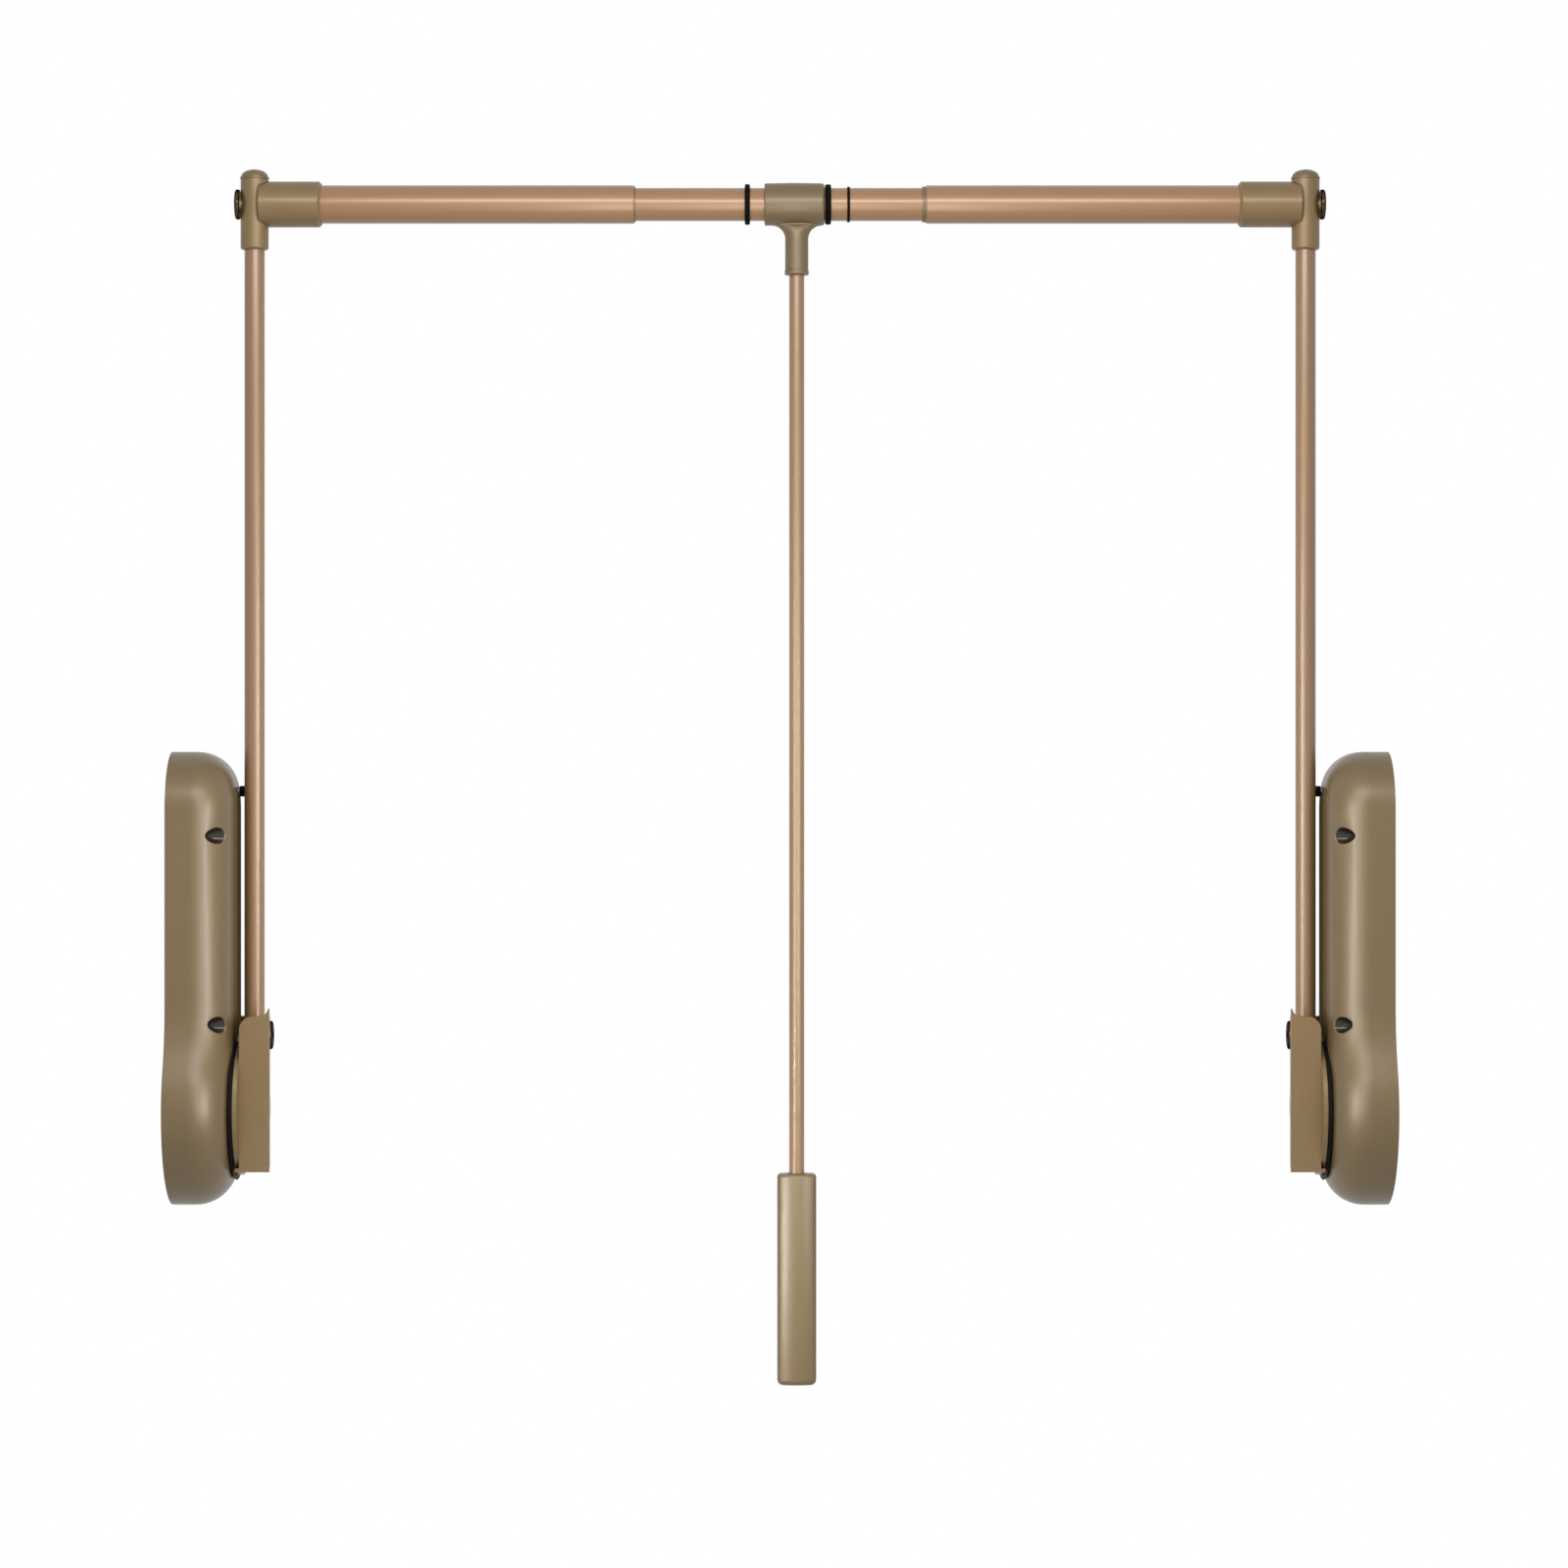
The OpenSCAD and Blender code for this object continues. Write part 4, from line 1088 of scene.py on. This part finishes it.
@dataclass(frozen=True)
class PullHandle:
    """The tee on the rail, the pull rod and the handle."""

    layout: Layout
    body_r: float = 14.75
    crown: float = 0.35
    left_edge: float = 0.9
    right_edge: float = 2.0
    bore_r: float = 12.05
    bore_sides: int = 96
    smooth_to: float = 38.0
    # Stem of the tee, and the rod in it
    stem_r: float = 8.0
    stem_edge: float = 0.8
    stem_lip_r: float = 8.3
    stem_lip_h: float = 3.4
    stem_lip_edge: float = 0.5
    flare: float = 9.2
    flare_depth: float = 6.0
    flare_rings: int = 8
    rod_wall: float = 1.2
    # Handle, and the countersink of the rod's hole
    front_r: float = 26.0
    front_steps: int = 10
    edge_r: float = 4.5
    edge_steps: int = 8
    top_r: float = 2.7
    top_steps: int = 6
    bottom_r: float = 4.0
    bottom_steps: int = 8
    sink_w: float = 1.6
    sink_over_w: float = 2.0
    sink_h: float = 1.8

    def tee(self) -> Piece:
        """Models the tee: a crowned body on the rail and a stem for the rod that flares into it.

        Returns:
            The tee.
        """
        low, high = box_mm("tee")
        rod_low, rod_high = box_mm("pull_rod")
        rod_x = (rod_low.x + rod_high.x) / 2
        rod_r = (rod_high.x - rod_low.x) / 2
        rail_z = self.layout.rail_z
        end_r = self.body_r - self.crown
        piece = turn("tee_moulding", [
            (0.0, low.x, 0.0), (end_r, low.x, self.left_edge), (self.body_r, (low.x + high.x) / 2, 0.0),
            (end_r, high.x, self.right_edge), (0.0, high.x, 0.0),
        ], Axis.X, mm(0, 0, rail_z))
        combine(piece, self.stem(low.z, rod_x), Join.ADD)
        start = mm(low.x - OVER, 0, rail_z)
        length = high.x - low.x + 2 * OVER
        combine(piece, rod("rail_bore", Axis.X, start, length, self.bore_r, self.bore_sides), Join.CUT)
        start = mm(rod_x, 0, low.z - OVER)
        length = rod_high.z - low.z + OVER
        combine(piece, rod("rod_bore", Axis.Z, start, length, rod_r), Join.CUT)
        smooth(piece, self.smooth_to)
        return piece

    def stem(self, bottom: float, rod_x: float) -> Piece:
        """Turns the stem with its lip and flare, and flattens the flare from front to back.

        Args:
            bottom: Height of the stem's lower end.
            rod_x: Centre line of the pull rod.

        Returns:
            The stem as a solid that reaches into the tee's body.
        """
        under = self.layout.rail_z - self.body_r + self.crown
        lip_z = bottom + self.stem_lip_h
        turns = [math.radians(90 * ring / self.flare_rings) for ring in range(self.flare_rings + 1)]
        rings = [
            (self.stem_r + self.flare * (1 - math.cos(turn_by)), under - self.flare * (1 - math.sin(turn_by)))
            for turn_by in turns
        ]
        inside = self.body_r / 3
        rings.append((self.stem_r + self.flare, under + inside))
        piece = turn("stem", [
            (0.0, bottom, 0.0), (self.stem_lip_r, bottom, self.stem_edge),
            (self.stem_lip_r, lip_z, self.stem_lip_edge), (self.stem_r, lip_z, 0.0),
            *[(radius, height, 0.0) for radius, height in rings], (0.0, under + inside, 0.0),
        ], Axis.Z, mm(rod_x, 0, 0))
        with editing(piece):
            for radius, height in rings[1:]:
                share = (radius - self.stem_r) / self.flare
                depth = self.stem_r + (self.flare_depth - self.stem_r) * share
                pick(piece, Pick.VERT, lambda vert: abs(vert.co.z - height * MM) < WELD)
                bpy.ops.transform.resize(value=(1, depth / radius, 1), center_override=mm(rod_x, 0, height))
            tidy_normals()
        return piece

    def handle(self) -> Piece:
        """Draws a quarter of the handle's crowned outline, mirrors and extrudes it and rounds both ends.

        Returns:
            The handle.
        """
        low, high = box_mm("handle")
        middle = (low + high) / 2
        half = (high - low) / 2
        crown_by = math.degrees(math.asin((half.x - self.edge_r) / (self.front_r - self.edge_r)))
        crown_y = low.y + self.front_r
        corner_y = crown_y - (self.front_r - self.edge_r) * math.cos(math.radians(crown_by))
        upwards = Vector(Axis.Z.value)
        piece = start_wire("pull_grip", mm(middle.x, low.y, low.z))
        with editing(piece):
            sweep(mm(middle.x, crown_y, low.z), crown_by, self.front_steps, upwards)
            sweep(mm(high.x - self.edge_r, corner_y, low.z), 90 - crown_by, self.edge_steps, upwards)
            draw(mm(0, middle.y - corner_y, 0))
            for flip in ((-1, 1, 1), (1, -1, 1)):
                add_mirror_image(flip, mm(middle.x, middle.y, low.z))
            bpy.ops.mesh.edge_face_add()
            draw(mm(0, 0, high.z - low.z))
            tidy_normals()
            pick(piece, Pick.EDGE, lambda edge: all(vert.co.z > (high.z - NEAR) * MM for vert in edge.verts))
            bpy.ops.mesh.bevel(offset=self.top_r * MM, segments=self.top_steps, affect="EDGES")
            pick(piece, Pick.EDGE, lambda edge: all(vert.co.z < (low.z + NEAR) * MM for vert in edge.verts))
            bpy.ops.mesh.bevel(offset=self.bottom_r * MM, segments=self.bottom_steps, affect="EDGES")
            tidy_normals()
        combine(piece, self.sink(high.z), Join.CUT)
        smooth(piece)
        return piece

    def sink(self, top: float) -> Piece:
        """Turns the tool that cuts the rod's hole in the handle, with a countersink.

        Args:
            top: Height of the handle's upper end.

        Returns:
            The tool.
        """
        low, high = box_mm("pull_rod")
        radius = (high.x - low.x) / 2
        middle = (low + high) / 2
        above = top + OVER
        return turn("sink", [
            (0.0, above, 0.0), (radius + self.sink_over_w, above, 0.0), (radius + self.sink_w, top, 0.0),
            (radius, top - self.sink_h, 0.0), (radius, low.z, 0.0), (0.0, low.z, 0.0),
        ], Axis.Z, mm(middle.x, middle.y, 0))

    def build(self) -> None:
        """Builds and fits the tee, the rod and the handle."""
        self.layout.fit(self.tee(), "tee")
        tube = turned_tube("pull_rod_tube", "pull_rod", Axis.Z, self.rod_wall)
        # The rod takes the darker lacquer copy: painted shade
        self.layout.fit(tube, "pull_rod", BRONZE_TUBE_Z_SHADED)
        self.layout.fit(self.handle(), "handle")


@dataclass(frozen=True)
class Softbox:
    """A rectangular softbox. Lengths in metres, with X measured from the middle of the view."""

    name: str
    place: tuple[float, float, float]
    aim: tuple[float, float, float]
    size: tuple[float, float]
    watts: float
    grid: float = 180.0

    def add(self, view_x: float) -> None:
        """Adds the lamp, faced to its aim, with its light narrowed to the angle of its grid.

        Args:
            view_x: The middle of the view.
        """
        place, aim = (Vector((view_x + across, front, up)) for across, front, up in (self.place, self.aim))
        turned = (aim - place).to_track_quat("-Z", "Y").to_euler()
        bpy.ops.object.light_add(type="AREA", location=place, rotation=turned)
        lamp = bpy.context.object
        lamp.name = self.name
        lamp.data.shape = "RECTANGLE"
        lamp.data.size, lamp.data.size_y = self.size
        lamp.data.energy = self.watts
        lamp.data.spread = math.radians(self.grid)


# One above the rail, one in front, and ones with grids for the handle alone and for the side unit across
# from each. All stand outside the reach of the arms.
SOFTBOXES = (
    Softbox("rail_box", (0.0, -1.0, 0.8), (0.0, 0.0, 0.47), (1.0, 0.07), 7.0),
    Softbox("front_box", (0.0, -0.75, 0.13), (0.0, 0.0, 0.13), (0.1, 0.6), 1.8),
    Softbox("handle_box", (-0.9, -1.2, -0.3), (0.0, 0.0, -0.24), (0.15, 0.15), 0.1, grid=16.0),
    Softbox("left_unit_box", (0.435, -0.75, 0.03), (-0.38, 0.0, 0.03), (0.25, 0.55), 1.0, grid=70.0),
    Softbox("right_unit_box", (-0.435, -0.75, 0.03), (0.38, 0.0, 0.03), (0.25, 0.55), 1.0, grid=70.0),
)


@dataclass(frozen=True)
class Studio:
    """Camera of the photograph, softboxes, pale floor and white surroundings. Lengths in metres."""

    # Camera, its sensor in millimetres and its shift in pixels of the photograph
    view_x: float = 0.415
    view_z: float = 0.099
    distance: float = 3.0
    view_w: float = 1.0743
    sensor: float = 36.0
    shift_px: float = 4.0
    photo_px: float = 1601.0
    # Floor, and the strength of the world as a lamp
    floor_z: float = -1.15
    floor_w: float = 4.0
    floor_glow: float = 0.45
    ambient: float = 0.42

    def camera(self) -> None:
        """Sets up the camera straight in front, as in the photograph."""
        bpy.ops.object.camera_add(
            location=(self.view_x, -self.distance, self.view_z), rotation=(math.radians(90), 0, 0)
        )
        camera = bpy.context.object
        camera.name = "photo_camera"
        camera.data.sensor_width = self.sensor
        camera.data.lens = self.sensor * self.distance / self.view_w
        camera.data.shift_x = self.shift_px / self.photo_px
        bpy.context.scene.camera = camera

    def seen(self, tree: Nodes, *kinds: str) -> Output:
        """Tells rays of some kinds, such as those of the camera, from the rest.

        Args:
            tree: The node tree.
            *kinds: Names of Light Path's outputs.

        Returns:
            A socket that is 1 for these rays and 0 for others.
        """
        rays = add_node(tree, "ShaderNodeLightPath")
        found = rays.outputs[kinds[0]]
        for kind in kinds[1:]:
            either = add_node(tree, "ShaderNodeMath", {0: found, 1: rays.outputs[kind]}, operation="MAXIMUM")
            found = either.outputs["Value"]
        return found

    def surroundings(self) -> None:
        """Makes the world white to the eye and in reflections, and softer as a lamp."""
        world = bpy.data.worlds.new("white studio")
        bpy.context.scene.world = world
        tree = empty_tree(world)
        shown = self.seen(tree, "Is Camera Ray", "Is Glossy Ray", "Is Transmission Ray")
        strength = add_node(tree, "ShaderNodeMapRange", {"Value": shown, "To Min": self.ambient})
        light = add_node(tree, "ShaderNodeBackground", {
            "Color": linear("#FFFFFF"), "Strength": strength.outputs["Result"],
        })
        add_node(tree, "ShaderNodeOutputWorld", {"Surface": light.outputs["Background"]})

    def floor(self) -> None:
        """Lays a pale floor well below the object, which keeps the object's soft shadow."""
        bpy.ops.mesh.primitive_plane_add(size=self.floor_w, location=(self.view_x, 0.0, self.floor_z))
        plane = named("studio_floor")
        paint = bpy.data.materials.new("floor paint matte")
        tree = empty_tree(paint)
        shown = self.seen(tree, "Is Camera Ray", "Is Glossy Ray")
        lift = add_node(tree, "ShaderNodeMapRange", {"Value": shown, "To Max": self.floor_glow})
        shader = add_node(tree, "ShaderNodeBsdfPrincipled", {
            "Base Color": linear("#F2F1EF"), "Roughness": 0.8, "Emission Color": linear("#FFFFFF"),
            "Emission Strength": lift.outputs["Result"],
        })
        add_node(tree, "ShaderNodeOutputMaterial", {"Surface": shader.outputs["BSDF"]})
        plane.data.materials.append(paint)

    def build(self) -> None:
        """Sets the view, the lights, the floor and the white surroundings."""
        bpy.context.scene.view_settings.view_transform = "Standard"
        self.camera()
        for softbox in SOFTBOXES:
            softbox.add(self.view_x)
        self.floor()
        self.surroundings()


def dress_frame() -> None:
    """Gives every CAD node the finish of its material slot."""
    for part in frame["record"]["subparts"]:
        FINISHES[part["material_slot"]].put_on(frame["nodes"][part["node"]])
        log.info("%s: %s", part["node"], FINISHES[part["material_slot"]].name)


def main() -> None:
    """Builds the studio, dresses the frame and adds the detailed pieces."""
    logging.basicConfig(level=logging.INFO, format="%(message)s")
    bpy.ops.object.select_all(action="DESELECT")
    Studio().build()
    dress_frame()
    layout = Layout.from_frame()
    for sub_assembly in (WallUnits(layout), Arms(layout), Rail(layout), PullHandle(layout)):
        sub_assembly.build()


if __name__ == "__main__":
    main()
